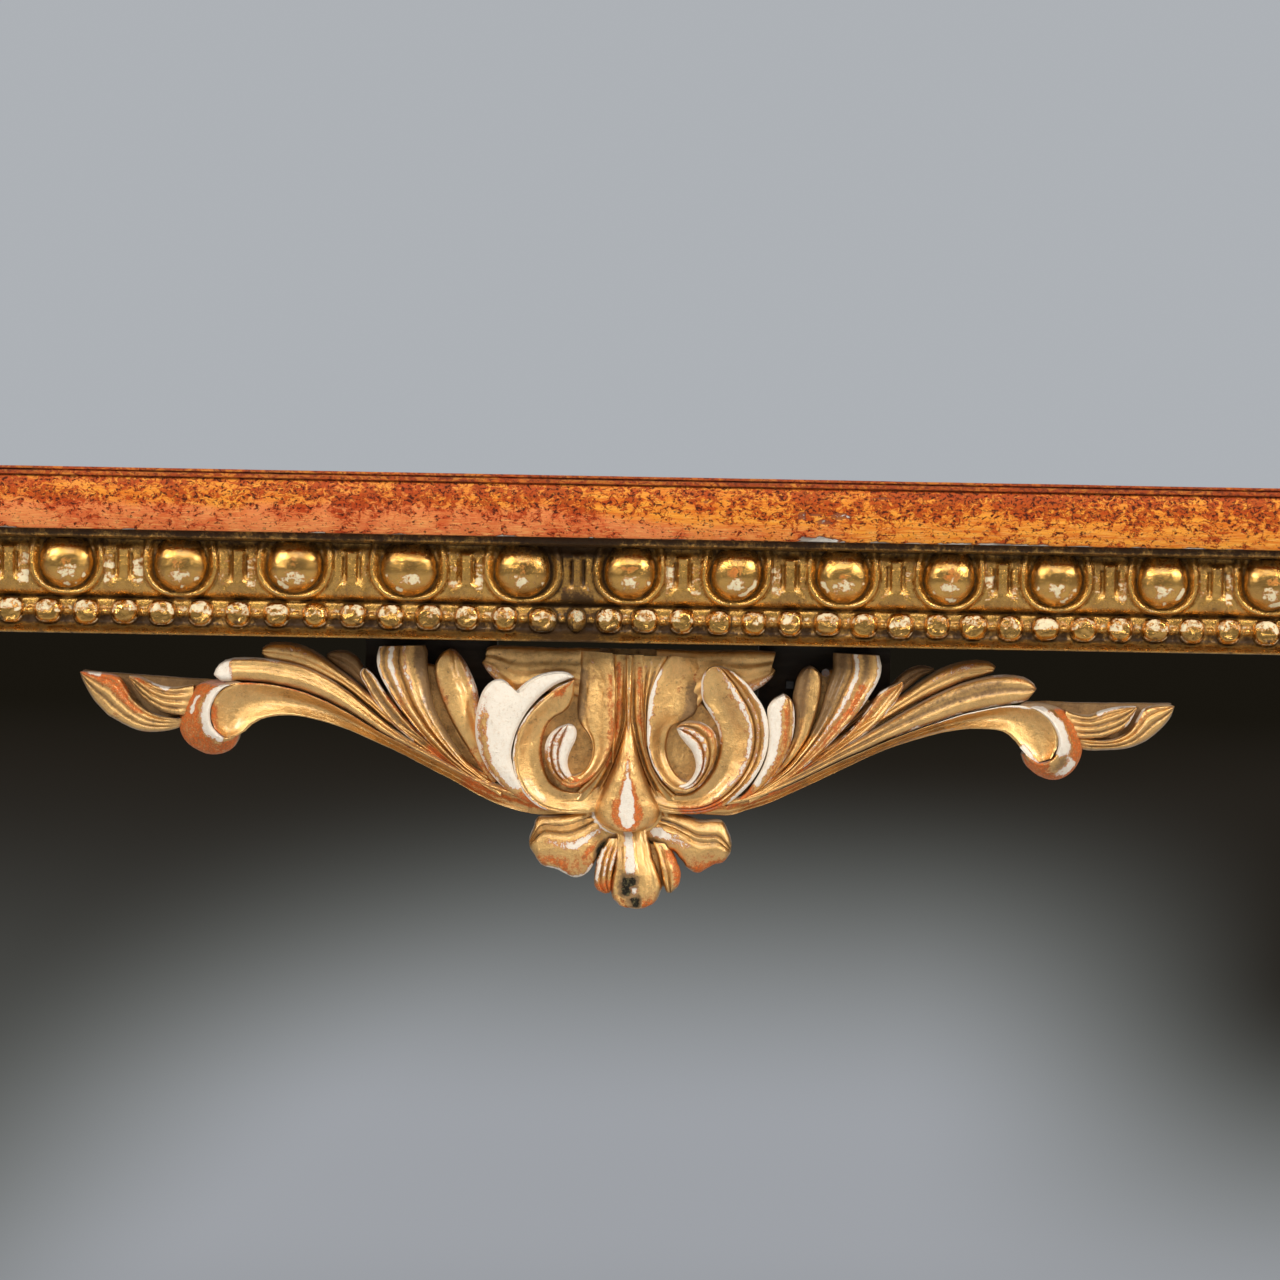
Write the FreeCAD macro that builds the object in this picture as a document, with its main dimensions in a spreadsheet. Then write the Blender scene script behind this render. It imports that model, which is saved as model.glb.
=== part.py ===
import FreeCAD, Part
import math
import os
import re

import Sketcher
from FreeCAD import Placement, Rotation, Vector

# Giltwood console table.
# +X runs along the front, the front faces -Y, +Z is up.
# The origin lies on the floor under the middle of the table.

os.makedirs("parts", exist_ok=True)

# Driving dimensions in millimetres
SIZES = {
    "table_wide": 1400,
    "table_deep": 480,
    "table_tall": 850,
    # painted top: two boards on a loose tongue, inside mitred edge mouldings
    "top_thick": 26,
    "front_board_deep": 220,
    "tongue_thick": 6,
    "tongue_wide": 20,
    "edge_wide": 40,
    "edge_lip_tall": 1.2,
    "edge_line_tall": 0.6,
    "edge_line_deep": 0.8,
    "edge_strip_tall": 1.9,
    "edge_step": 1.5,
    "edge_undercut": 4,
    "thumb_radius": 26,
    # frame of rails between the leg posts
    "top_overhang": 12,
    "frieze_tall": 44,
    "rail_thick": 24,
    "wall_gap": 6,
    "post_wide": 58,
    "tenon_thick": 10,
    "tenon_tall": 30,
    "tenon_long": 34,
    "joint_gap": 0.1,
    "peg_thick": 8,
    "peg_long": 32,
    "bearer_wide": 44,
    "bearer_tall": 28,
    "housing_deep": 8,
    "block_long": 70,
    "block_wide": 20,
    "nail_front_place": 120,
    "nail_back_place": 130,
    # carved frieze moulding: bottom fillet, bead course, ovolo with eggs, top fillet
    "moulding_deep": 20,
    "foot_fillet_tall": 2.3,
    "foot_fillet_deep": 15.5,
    "foot_fillet_slope": 1.5,
    "bead_floor_low": 3.4,
    "bead_floor_deep": 7.5,
    "bead_floor_high": 15.2,
    "bead_height": 9.2,
    "bead_thick": 11,
    "bead_relief": 6,
    "ovolo_low": 16.2,
    "ovolo_low_deep": 9.5,
    "ovolo_high": 41,
    "ovolo_high_deep": 15,
    "egg_height": 29.3,
    "egg_wide": 22.4,
    "egg_tall": 24.8,
    "egg_relief": 6.5,
    "corner_margin": 30,
    "seam_place": 23.2,
    "egg_pitch_left": 48.05,
    "first_egg_left": 19.3,
    "egg_pitch_right": 44.9,
    "first_egg_right": 24.5,
    "egg_pitch_side": 46,
    "first_egg_side": 23,
    # legs with scroll feet
    "leg_sweep": 54,
    "back_leg_sweep": 42,
    "foot_eye_out": 32,
    "foot_eye_up": 50,
    "scroll_start_reach": 30,
    "scroll_end_reach": 13,
    "scroll_start_thick": 27,
    "scroll_end_thick": 14,
    "scroll_start_wide": 32,
    "scroll_end_wide": 36,
    "foot_eye_thick": 20,
    "foot_eye_wide": 40,
    "foot_pad_wide": 46,
    "foot_pad_tall": 13,
    # carved brackets between posts and rails
    "bracket_long": 104,
    "bracket_tall": 66,
    "bracket_thick": 20,
    "bracket_toe": 9,
    "bracket_waist_out": 44,
    "bracket_waist_down": 24,
    "bracket_low_radius": 72,
    "bracket_high_radius": 52,
    "bracket_relief": 4,
    "bracket_eye_out": 23,
    "bracket_eye_down": 20,
    "bracket_eye_thick": 22,
    # carved acanthus pendant under the middle of the front rail
    "pendant_wide": 460,
    "pendant_tall": 111,
    "pendant_thick": 32,
    "pendant_ground": 13,
    "drop_thick": 28,
    "drop_top": 40,
    "drop_tall": 38.5,
    "drop_place": 17,
    "pendant_block_place": 84,
    "pendant_block_long": 56,
    "pendant_block_deep": 24,
    "pendant_block_up": 24,
    "pendant_block_down": 34,
    "nail_thick": 3,
    "nail_long": 42,
    "nail_head_thick": 7,
    "nail_head_tall": 2,
    "nail_spread": 30,
    "repair_nail_place": 84,
    "repair_nail_down": 11.5,
    "repair_nail_thick": 1.6,
    "repair_nail_head_thick": 3.3,
    "repair_nail_head_tall": 1,
    "repair_nail_long": 30,
    # cutting tools run past the wood by this much
    "overrun": 5,
}

doc = FreeCAD.newDocument("GiltwoodConsoleTable")
sheet = doc.addObject("Spreadsheet::Sheet", "Sizes")
for row, (alias, number) in enumerate(SIZES.items(), 1):
    sheet.set("A%d" % row, alias)
    sheet.set("B%d" % row, str(number))
    sheet.setAlias("B%d" % row, alias)
doc.recompute()

PARTS = []

# Four corners count as flat when the last lies this near the plane of the others
FLAT_SHARE = 1e-6


def formula(words):
    """Turn plain size names into references to the sheet."""
    return re.sub(r"[a-z]+_[a-z_]+|overrun", lambda found: "Sizes." + found.group(), words)


def value(words):
    """Work out a formula of size names as a number."""
    return float(sheet.evalExpression(formula(words)))


def bind(item, name, words):
    """Bind one property to a formula of size names."""
    item.setExpression(name, formula(words))


# Derived places, as formulas of the driving dimensions
TOP_LOW = "(table_tall - top_thick)"
FRIEZE_LOW = "(table_tall - top_thick - frieze_tall)"
FRAME_HALF = "(table_wide / 2 - top_overhang - moulding_deep)"
FRAME_FRONT = "(table_deep / 2 - top_overhang - moulding_deep)"
FRAME_BACK = "(table_deep / 2 - wall_gap)"
FRONT_SPAN = "(2 * " + FRAME_HALF + " - 2 * post_wide)"
SIDE_SPAN = "(" + FRAME_FRONT + " + " + FRAME_BACK + " - 2 * post_wide)"
SIDE_MIDDLE = "((" + FRAME_BACK + " - " + FRAME_FRONT + ") / 2)"

# Where the bearers and the outer glue blocks stand, as shares of the way from the middle to a post
BEARER_SHARE = 0.54
BLOCK_SHARE = 0.79
BEARER_PLACE = "((" + FRAME_HALF + " - post_wide) * " + str(BEARER_SHARE) + ")"
BLOCK_PLACE = "((" + FRAME_HALF + " - post_wide) * " + str(BLOCK_SHARE) + ")"


def place(item, east, north, up, turn=0):
    """Bind the position to formulas and turn the piece about the vertical."""
    item.Placement = Placement(Vector(), Rotation(Vector(0, 0, 1), turn))
    for axis, words in zip("xyz", (east, north, up)):
        bind(item, "Placement.Base." + axis, words)


def keep(item):
    """List a finished sub-part."""
    PARTS.append(item)
    return item


def new_body(label):
    """Start one solid piece."""
    body = doc.addObject("PartDesign::Body", label)
    body.Label = label
    return body


def new_sketch(body, role, height="0"):
    """Attach a sketch to one of the body's own origin planes, raised by a formula."""
    sketch = body.newObject("Sketcher::SketchObject", body.Label + "_outline")
    planes = body.Origin.OriginFeatures
    sketch.AttachmentSupport = (next(plane for plane in planes if plane.Role == role), "")
    sketch.MapMode = "FlatFace"
    bind(sketch, "AttachmentOffset.Base.z", height)
    return sketch


def pin_point(sketch, edge, end, point):
    """Hold one corner of an outline at formulas of size names."""
    for kind, words in zip(("DistanceX", "DistanceY"), point):
        index = sketch.addConstraint(Sketcher.Constraint(kind, -1, 1, edge, end, value(words)))
        if words != "0":
            sketch.setExpression("Constraints[%d]" % index, formula(words))


def draw_outline(sketch, corners):
    """Close an outline through corners (across, up) or (across, up, radius of the arc that follows).

    A positive radius bulges to the right of the way the outline goes, a negative one to the left.
    """
    start = sketch.GeometryCount
    spots = [Vector(value(corner[0]), value(corner[1]), 0) for corner in corners]
    ends = []
    for index, corner in enumerate(corners):
        here = spots[index]
        there = spots[(index + 1) % len(spots)]
        if len(corner) == 2:
            sketch.addGeometry(Part.LineSegment(here, there))
            ends.append((1, 2))
            continue
        radius = value(corner[2])
        chord = there - here
        side = Vector(chord.y, -chord.x, 0).normalize()
        rise = abs(radius) - math.sqrt(radius ** 2 - (chord.Length / 2) ** 2)
        middle = (here + there) * 0.5 + side * math.copysign(rise, radius)
        edge = sketch.addGeometry(Part.Arc(here, middle, there))
        follows = (sketch.getPoint(edge, 1) - here).Length < (sketch.getPoint(edge, 2) - here).Length
        ends.append((1, 2) if follows else (2, 1))
        index = sketch.addConstraint(Sketcher.Constraint("Radius", edge, abs(radius)))
        sketch.setExpression("Constraints[%d]" % index, formula("abs(" + corner[2] + ")"))
    for index, corner in enumerate(corners):
        after = (index + 1) % len(corners)
        joint = (start + index, ends[index][1], start + after, ends[after][0])
        sketch.addConstraint(Sketcher.Constraint("Coincident", *joint))
        pin_point(sketch, start + index, ends[index][0], corner)


def draw_box(sketch, left, right, low, high):
    """Draw a rectangle between formulas."""
    draw_outline(sketch, [(left, low), (right, low), (right, high), (left, high)])


def draw_nail_hole(sketch, across, up):
    """Draw the square hole of a forged nail about its centre."""
    draw_box(
        sketch, across + " - nail_thick / 2", across + " + nail_thick / 2",
        up + " - nail_thick / 2", up + " + nail_thick / 2",
    )


def draw_octagon(sketch, across, up, thick):
    """Draw a regular octagon by its centre and its width across the flats."""
    near = "(" + thick + ") / 2 * tan(22.5)"
    far = "(" + thick + ") / 2"
    corners = [
        ("+", far, "-", near), ("+", far, "+", near), ("+", near, "+", far), ("-", near, "+", far),
        ("-", far, "+", near), ("-", far, "-", near), ("-", near, "-", far), ("+", near, "-", far),
    ]
    draw_outline(sketch, [
        (across + " " + side + " " + wide, up + " " + way + " " + tall)
        for side, wide, way, tall in corners
    ])


def pad(sketch, length, middle=False, backwards=False):
    """Raise a sketch into wood."""
    body = sketch.getParentGeoFeatureGroup()
    feature = body.newObject("PartDesign::Pad", body.Label + "_pad")
    feature.Profile = sketch
    bind(feature, "Length", length)
    feature.Midplane = middle
    feature.Reversed = backwards
    return feature


def pocket(sketch, length="", backwards=False):
    """Cut a sketch out of the wood, right through where no length is given."""
    body = sketch.getParentGeoFeatureGroup()
    doc.recompute()
    before = body.Shape.Volume
    feature = body.newObject("PartDesign::Pocket", body.Label + "_pocket")
    feature.Profile = sketch
    if length:
        bind(feature, "Length", length)
        feature.Reversed = backwards
    else:
        feature.Type = "ThroughAll"
        feature.Midplane = True
    doc.recompute()
    if not body.Shape.Volume < before:
        raise RuntimeError(body.Label + ": a pocket cuts nothing")
    return feature


def facet(corners):
    """One flat face through four corners, or two where the corners are not in one plane."""
    first, second, third, fourth = corners
    normal = (second - first).cross(third - first)
    lift = abs(normal.dot(fourth - first))
    if lift <= FLAT_SHARE * normal.Length * (third - first).Length:
        return [Part.Face(Part.makePolygon(corners + corners[:1]))]
    return [
        Part.Face(Part.makePolygon([first, second, third, first])),
        Part.Face(Part.makePolygon([first, third, fourth, first])),
    ]


def faceted_loft(rings):
    """A solid of flat facets through flat rings that all have the same number of corners."""
    faces = [Part.Face(Part.makePolygon(ring + ring[:1])) for ring in (rings[0], rings[-1])]
    for lower, upper in zip(rings, rings[1:]):
        for index in range(len(lower)):
            faces += facet([lower[index - 1], lower[index], upper[index], upper[index - 1]])
    solid = Part.Solid(Part.Shell(faces))
    if solid.Volume < 0:
        solid.reverse()
    return solid


def solid_feature(label, shape, east="0", north="0", up="0", turn=0):
    """Keep a shape made by Part's own functions as a sub-part."""
    item = doc.addObject("Part::Feature", label)
    item.Label = label
    item.Shape = shape
    place(item, east, north, up, turn)
    return item


# Top


def top_boards():
    """Two boards with a groove each, and the loose tongue that lines them up."""
    length = "table_wide - 2 * edge_wide"
    groove_low = "(top_thick - tongue_thick) / 2 - joint_gap"
    groove_high = "(top_thick + tongue_thick) / 2 + joint_gap"
    groove_deep = "tongue_wide / 2 + joint_gap"
    back_deep = "(table_deep - edge_wide - front_board_deep)"
    outlines = {
        "top_front_board": [
            ("0", "0"), ("front_board_deep", "0"), ("front_board_deep", groove_low),
            ("front_board_deep - (" + groove_deep + ")", groove_low),
            ("front_board_deep - (" + groove_deep + ")", groove_high),
            ("front_board_deep", groove_high), ("front_board_deep", "top_thick"), ("0", "top_thick"),
        ],
        "top_back_board": [
            ("0", "0"), (back_deep, "0"), (back_deep, "top_thick"), ("0", "top_thick"),
            ("0", groove_high), (groove_deep, groove_high), (groove_deep, groove_low), ("0", groove_low),
        ],
    }
    fronts = {
        "top_front_board": "edge_wide - table_deep / 2",
        "top_back_board": "edge_wide - table_deep / 2 + front_board_deep",
    }
    nails = {"top_front_board": "-nail_front_place", "top_back_board": "nail_back_place"}
    for label, outline in outlines.items():
        body = new_body(label)
        section = new_sketch(body, "YZ_Plane")
        draw_outline(section, outline)
        pad(section, length, middle=True)
        holes = new_sketch(body, "XY_Plane")
        for side in ("-", ""):
            draw_nail_hole(holes, side + BEARER_PLACE, nails[label] + " - (" + fronts[label] + ")")
        pocket(holes, "nail_long - bearer_tall", backwards=True)
        place(body, "0", fronts[label], TOP_LOW)
        keep(body)
    body = new_body("top_tongue")
    section = new_sketch(body, "YZ_Plane")
    draw_box(section, "-tongue_wide / 2", "tongue_wide / 2", "0", "tongue_thick")
    pad(section, length, middle=True)
    joint = "edge_wide - table_deep / 2 + front_board_deep"
    place(body, "0", joint, TOP_LOW + " + (top_thick - tongue_thick) / 2")
    keep(body)


def draw_mitre(sketch, tip, way, deep):
    """Draw the wedge that a mitre removes beyond the corner at tip, where way is + or -."""
    beyond = tip + " " + way + " overrun"
    line_end = tip + " " + ("-" if way == "+" else "+") + " (" + deep + " + overrun)"
    draw_outline(sketch, [(line_end, "overrun"), (beyond, "overrun"), (beyond, "-(" + deep + ") - overrun")])


def moulding_run(label, outline, length, deep, way="+", near_mitre=False):
    """A length of moulding from x = 0 along +X or -X, mitred at its far end."""
    body = new_body(label)
    section = new_sketch(body, "YZ_Plane")
    draw_outline(section, outline)
    pad(section, length, backwards=(way == "-"))
    wedges = new_sketch(body, "XY_Plane")
    draw_mitre(wedges, "0 " + way + " (" + length + ")", way, deep)
    if near_mitre:
        draw_mitre(wedges, "0", "-" if way == "+" else "+", deep)
    pocket(wedges)
    return body


def top_mouldings():
    """The mitred edge of the top: a lip, a scored line, a strip and a thumb moulding."""
    band_low = "(top_thick - edge_lip_tall - edge_line_tall - edge_strip_tall)"
    line_low = "(top_thick - edge_lip_tall - edge_line_tall)"
    line_high = "(top_thick - edge_lip_tall)"
    outline = [
        ("0", "top_thick"), ("-edge_wide", "top_thick"), ("-edge_wide", line_high),
        ("edge_line_deep - edge_wide", line_high), ("edge_line_deep - edge_wide", line_low),
        ("-edge_wide", line_low), ("-edge_wide", band_low),
        ("edge_step - edge_wide", band_low, "thumb_radius"),
        ("edge_undercut - edge_wide", "0"), ("0", "0"),
    ]
    half_wide = "table_wide / 2"
    half_deep = "table_deep / 2"
    front = moulding_run("top_moulding_front", outline, "table_wide", "edge_wide", near_mitre=True)
    place(front, "-" + half_wide, "edge_wide - " + half_deep, TOP_LOW)
    left = moulding_run("top_moulding_left", outline, "table_deep", "edge_wide")
    place(left, "edge_wide - " + half_wide, half_deep, TOP_LOW, -90)
    right = moulding_run("top_moulding_right", outline, "table_deep", "edge_wide", way="-")
    place(right, half_wide + " - edge_wide", half_deep, TOP_LOW, 90)
    for body in (front, left, right):
        keep(body)


# Frame


def rail(label, span, east, north, turn, housed=False, nailed=False):
    """A rail with a tenon and a peg hole at each end.

    It has housings for the bearers, and holes for the pendant's nails, where asked.
    """
    body = new_body(label)
    section = new_sketch(body, "YZ_Plane")
    draw_box(section, "0", "rail_thick", "0", "frieze_tall")
    pad(section, span, middle=True)
    tenon = new_sketch(body, "YZ_Plane")
    tenon_low = "(frieze_tall - tenon_tall) / 2"
    draw_box(
        tenon, "(rail_thick - tenon_thick) / 2", "(rail_thick + tenon_thick) / 2",
        tenon_low, tenon_low + " + tenon_tall",
    )
    pad(tenon, span + " + 2 * tenon_long", middle=True)
    holes = new_sketch(body, "XZ_Plane")
    for side in ("-", ""):
        across = side + "(" + span + " + tenon_long) / 2"
        draw_octagon(holes, across, "frieze_tall / 2", "peg_thick + joint_gap")
    pocket(holes)
    if housed:
        slots = new_sketch(body, "XY_Plane", "frieze_tall")
        for side in ("-", ""):
            middle = side + BEARER_PLACE
            draw_box(
                slots, middle + " - bearer_wide / 2", middle + " + bearer_wide / 2",
                "rail_thick - housing_deep", "rail_thick + overrun",
            )
        pocket(slots, "bearer_tall")
    if nailed:
        nails = new_sketch(body, "XZ_Plane", "-rail_thick")
        for side in ("-", ""):
            for way in ("-", "+"):
                across = side + "pendant_block_place " + way + " nail_spread / 2"
                draw_nail_hole(nails, across, "pendant_block_up / 2")
        pocket(nails, "nail_long - pendant_block_deep", backwards=True)
    place(body, east, north, FRIEZE_LOW, turn)
    keep(body)


def rails():
    """Four rails flush with the outer faces of the posts."""
    rail("rail_front", FRONT_SPAN, "0", "-" + FRAME_FRONT, 0, housed=True, nailed=True)
    rail("rail_back", FRONT_SPAN, "0", FRAME_BACK, 180, housed=True)
    rail("rail_left", SIDE_SPAN, "-" + FRAME_HALF, SIDE_MIDDLE, -90)
    rail("rail_right", SIDE_SPAN, FRAME_HALF, SIDE_MIDDLE, 90)


def bearers():
    """Two bearers under the top, housed in the front and back rails."""
    length = "(" + FRAME_FRONT + " + " + FRAME_BACK + " - 2 * rail_thick + 2 * housing_deep)"
    for label, side in (("bearer_left", "-"), ("bearer_right", "")):
        body = new_body(label)
        section = new_sketch(body, "XZ_Plane")
        draw_box(section, "-bearer_wide / 2", "bearer_wide / 2", "0", "bearer_tall")
        pad(section, length, middle=True)
        holes = new_sketch(body, "XY_Plane")
        for spot in ("-nail_front_place", "nail_back_place"):
            draw_nail_hole(holes, "0", spot + " - " + SIDE_MIDDLE)
        pocket(holes)
        place(body, side + BEARER_PLACE, SIDE_MIDDLE, TOP_LOW + " - bearer_tall")
        keep(body)


def box_between(low, high):
    """A box between two corners."""
    return Part.makeBox(high.x - low.x, high.y - low.y, high.z - low.z, low)


def forged_nail(spot, turn_axis=Vector(1, 0, 0), turn=0):
    """A square forged nail with its head's underside at a spot, pointing to -Y before it turns."""
    half = value("nail_thick / 2")
    head = value("nail_head_thick / 2")
    shank = box_between(Vector(-half, -value("nail_long"), -half), Vector(half, 0, half))
    cap = box_between(Vector(-head, 0, -head), Vector(head, value("nail_head_tall"), head))
    nail = shank.fuse(cap).removeSplitter()
    nail.rotate(Vector(), turn_axis, turn)
    nail.translate(spot)
    return nail


def top_nails():
    """Forged nails driven up through the bearers into the top boards."""
    nails = []
    low = value(TOP_LOW + " - bearer_tall")
    for side in (-1, 1):
        for north in (-value("nail_front_place"), value("nail_back_place")):
            spot = Vector(side * value(BEARER_PLACE), north, low)
            nails.append(forged_nail(spot, turn=-90))
    keep(solid_feature("top_nails", Part.makeCompound(nails)))


def glue_blocks():
    """Square blocks rubbed into the corners between the rails and the top."""
    long = value("block_long")
    wide = value("block_wide")
    high = value(TOP_LOW)
    front = value("rail_thick - " + FRAME_FRONT)
    back = value(FRAME_BACK + " - rail_thick")
    side = value(FRAME_HALF + " - rail_thick")
    middle = value(SIDE_MIDDLE)
    blocks = []
    for east in (-value(BLOCK_PLACE), 0, value(BLOCK_PLACE)):
        for low in (front, back - wide):
            corner = Vector(east - long / 2, low, high - wide)
            blocks.append(box_between(corner, corner + Vector(long, wide, wide)))
    for west in (-side, side - wide):
        corner = Vector(west, middle - long / 2, high - wide)
        blocks.append(box_between(corner, corner + Vector(wide, long, wide)))
    keep(solid_feature("glue_blocks", Part.makeCompound(blocks)))


def peg_places():
    """Start point and direction of each tenon peg, from the outer faces inwards."""
    half = value(FRAME_HALF)
    front = value(FRAME_FRONT)
    back = value(FRAME_BACK)
    deep = value("post_wide - tenon_long / 2")
    height = value(FRIEZE_LOW + " + frieze_tall / 2")
    spots = []
    for side in (-1, 1):
        spots.append((Vector(side * (half - deep), -front, height), Vector(0, 1, 0)))
        spots.append((Vector(side * (half - deep), back, height), Vector(0, -1, 0)))
        spots.append((Vector(side * half, deep - front, height), Vector(-side, 0, 0)))
        spots.append((Vector(side * half, back - deep, height), Vector(-side, 0, 0)))
    return spots


def peg_bar(thick, start, way):
    """An eight-sided bar as long as a peg, its thickness measured across its flats."""
    radius = thick / 2 / math.cos(math.pi / 8)
    rim = [Vector(across, 0, up) for across, up in oval(radius, radius, 8)]
    bar = Part.Face(Part.makePolygon(rim + rim[:1])).extrude(Vector(0, value("peg_long"), 0))
    bar.rotate(Vector(), Vector(0, 0, 1), math.degrees(math.atan2(way.y, way.x)) - 90)
    bar.translate(start)
    return bar


def tenon_pegs():
    """One split oak peg through each tenon, cleft to eight sides."""
    pegs = [peg_bar(value("peg_thick"), *spot) for spot in peg_places()]
    keep(solid_feature("tenon_pegs", Part.makeCompound(pegs)))


# Legs

# Path of a front leg below its post: outward as a share of the sweep, height as a share of the
# height of the frieze, thickness and width as shares of the post, how far the section has turned
# from a square standing on its corner (1) to a square standing on its side (0), and the width of a
# back leg, which stays flush with its post
LEG_SHARES = (
    (0.00, 1.000, 1.00, 1.00, 1.0, 1.00),
    (0.16, 0.980, 1.06, 1.08, 1.0, 1.00),
    (0.34, 0.945, 1.12, 1.16, 0.9, 1.00),
    (0.42, 0.895, 1.08, 1.14, 0.8, 1.00),
    (0.38, 0.825, 0.96, 1.02, 0.7, 0.94),
    (0.26, 0.720, 0.84, 0.88, 0.6, 0.84),
    (0.08, 0.580, 0.73, 0.74, 0.5, 0.72),
    (-0.08, 0.430, 0.64, 0.63, 0.4, 0.62),
    (-0.18, 0.290, 0.56, 0.55, 0.3, 0.54),
    (-0.20, 0.190, 0.51, 0.51, 0.2, 0.50),
    (-0.12, 0.115, 0.49, 0.52, 0.1, 0.50),
    (0.06, 0.065, 0.48, 0.54, 0.0, 0.52),
)

# The foot's scroll turns about its eye between these angles, in this many steps
SCROLL_START = -140
SCROLL_END = 150
SCROLL_STEPS = 10

# How much of a section's half width the cut at each corner takes
CORNER_CUT_SHARE = 0.2


def leg_section(centre, outward, across, thick, wide, turned):
    """An eight-sided section that runs from a square on its corner to a square on its side."""
    flat = (1 - CORNER_CUT_SHARE, 1)
    ridge = (CORNER_CUT_SHARE / math.sqrt(2), math.sqrt(2) - CORNER_CUT_SHARE / math.sqrt(2))
    octagon = (math.tan(math.pi / 8), 1)
    if turned > 0.5:
        blend = (turned - 0.5) * 2
        near, far = [a + (b - a) * blend for a, b in zip(octagon, ridge)]
    else:
        blend = 1 - turned * 2
        near, far = [a + (b - a) * blend for a, b in zip(octagon, flat)]
    corners = [
        (far, -near), (far, near), (near, far), (-near, far),
        (-far, near), (-far, -near), (-near, -far), (near, -far),
    ]
    return [centre + outward * (u * thick / 2) + across * (v * wide / 2) for u, v in corners]


def leg_stations(sweep, square):
    """Centre line, thickness, width and turn of each section from the frieze to the scroll's end."""
    tall = value(FRIEZE_LOW)
    post = value("post_wide")
    stations = []
    for out_share, up_share, thick_share, wide_share, turned, back_wide_share in LEG_SHARES:
        centre = Vector(out_share * sweep, 0, up_share * tall)
        if square:
            stations.append((centre, thick_share * post, back_wide_share * post, 0))
        else:
            stations.append((centre, thick_share * post, wide_share * post, turned))
    eye = Vector(value("foot_eye_out") * sweep / value("leg_sweep"), 0, value("foot_eye_up"))
    for step in range(SCROLL_STEPS + 1):
        part = step / SCROLL_STEPS
        angle = math.radians(SCROLL_START + (SCROLL_END - SCROLL_START) * part)
        reach, thick, wide = [
            value("scroll_start_" + name) * (1 - part) + value("scroll_end_" + name) * part
            for name in ("reach", "thick", "wide")
        ]
        centre = eye + Vector(math.cos(angle), 0, math.sin(angle)) * reach
        stations.append((centre, thick, wide, 0))
    return stations, eye


def leg_shape(sweep, square):
    """A cabriole leg about its own post's centre line, curving out along +X, with a scroll foot."""
    stations, eye = leg_stations(sweep, square)
    rings = []
    for index, (centre, thick, wide, turned) in enumerate(stations):
        before = stations[max(index - 1, 0)][0]
        after = stations[min(index + 1, len(stations) - 1)][0]
        along = (after - before).normalize()
        if index == 0:
            along = Vector(0, 0, -1)
        outward = Vector(-along.z, 0, along.x)
        rings.append(leg_section(centre, outward, Vector(0, 1, 0), thick, wide, turned))
    shank = faceted_loft(rings)
    wide = value("foot_eye_wide")
    eye_radius = value("foot_eye_thick / 2")
    boss = faceted_loft([
        [eye + Vector(across, side * wide / 2, up) for across, up in oval(eye_radius, eye_radius, 12)]
        for side in (-1, 1)
    ])
    pad_wide = value("foot_pad_wide")
    corner = Vector(eye.x - pad_wide / 2, -pad_wide / 2, 0)
    pad_block = Part.makeBox(pad_wide, pad_wide, value("foot_pad_tall"), corner)
    return shank.fuse([boss, pad_block])


def post_shape():
    """The square post that the rails join, standing on the frieze's lower edge."""
    post = value("post_wide")
    low = Vector(-post / 2, -post / 2, value(FRIEZE_LOW))
    return Part.makeBox(post, post, value("frieze_tall"), low)


def tenon_mortises():
    """Tools that cut every mortise: each tenon with its clearance, where it stands in the table."""
    half = value(FRAME_HALF)
    gap = value("joint_gap")
    post = value("post_wide")
    near = value("(rail_thick - tenon_thick) / 2") - gap
    far = value("(rail_thick + tenon_thick) / 2") + gap
    low = value(FRIEZE_LOW + " + (frieze_tall - tenon_tall) / 2") - gap
    high = low + value("tenon_tall") + 2 * gap
    reach = value("tenon_long") + gap
    front = value(FRAME_FRONT)
    back = value(FRAME_BACK)
    tools = []
    for side in (-1, 1):
        inner = side * (half - post)
        outer = inner + side * reach
        west = min(inner, outer)
        east = max(inner, outer)
        tools.append(box_between(Vector(west, near - front, low), Vector(east, far - front, high)))
        tools.append(box_between(Vector(west, back - far, low), Vector(east, back - near, high)))
        west = min(side * (half - near), side * (half - far))
        east = max(side * (half - near), side * (half - far))
        rear = post - front
        tools.append(box_between(Vector(west, rear - reach, low), Vector(east, rear, high)))
        rear = back - post
        tools.append(box_between(Vector(west, rear, low), Vector(east, rear + reach, high)))
    return tools


def legs():
    """Front legs curve out along the diagonals; back legs curve out sideways, flat to the wall."""
    post = value("post_wide")
    centre_x = value(FRAME_HALF) - post / 2
    hole = value("peg_thick + joint_gap")
    tools = tenon_mortises()
    tools += [peg_bar(hole, *spot) for spot in peg_places()]
    cutter = Part.makeCompound(tools)
    corners = {
        "leg_front_left": (-1, post / 2 - value(FRAME_FRONT), -135, False),
        "leg_front_right": (1, post / 2 - value(FRAME_FRONT), -45, False),
        "leg_back_left": (-1, value(FRAME_BACK) - post / 2, 180, True),
        "leg_back_right": (1, value(FRAME_BACK) - post / 2, 0, True),
    }
    for label, (side, north, turn, square) in corners.items():
        shank = leg_shape(value("back_leg_sweep" if square else "leg_sweep"), square)
        shank.rotate(Vector(), Vector(0, 0, 1), turn)
        leg = post_shape().fuse(shank)
        leg.translate(Vector(side * centre_x, north, 0))
        keep(solid_feature(label, leg.cut(cutter).removeSplitter()))


# Carved frieze moulding


def stepped_solid(outline, steps):
    """A solid of flat faces: the outline scaled by each share and raised by each height towards -Y."""
    return faceted_loft([
        [Vector(x * share, -rise, z * share) for x, z in outline] for share, rise in steps
    ])


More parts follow.
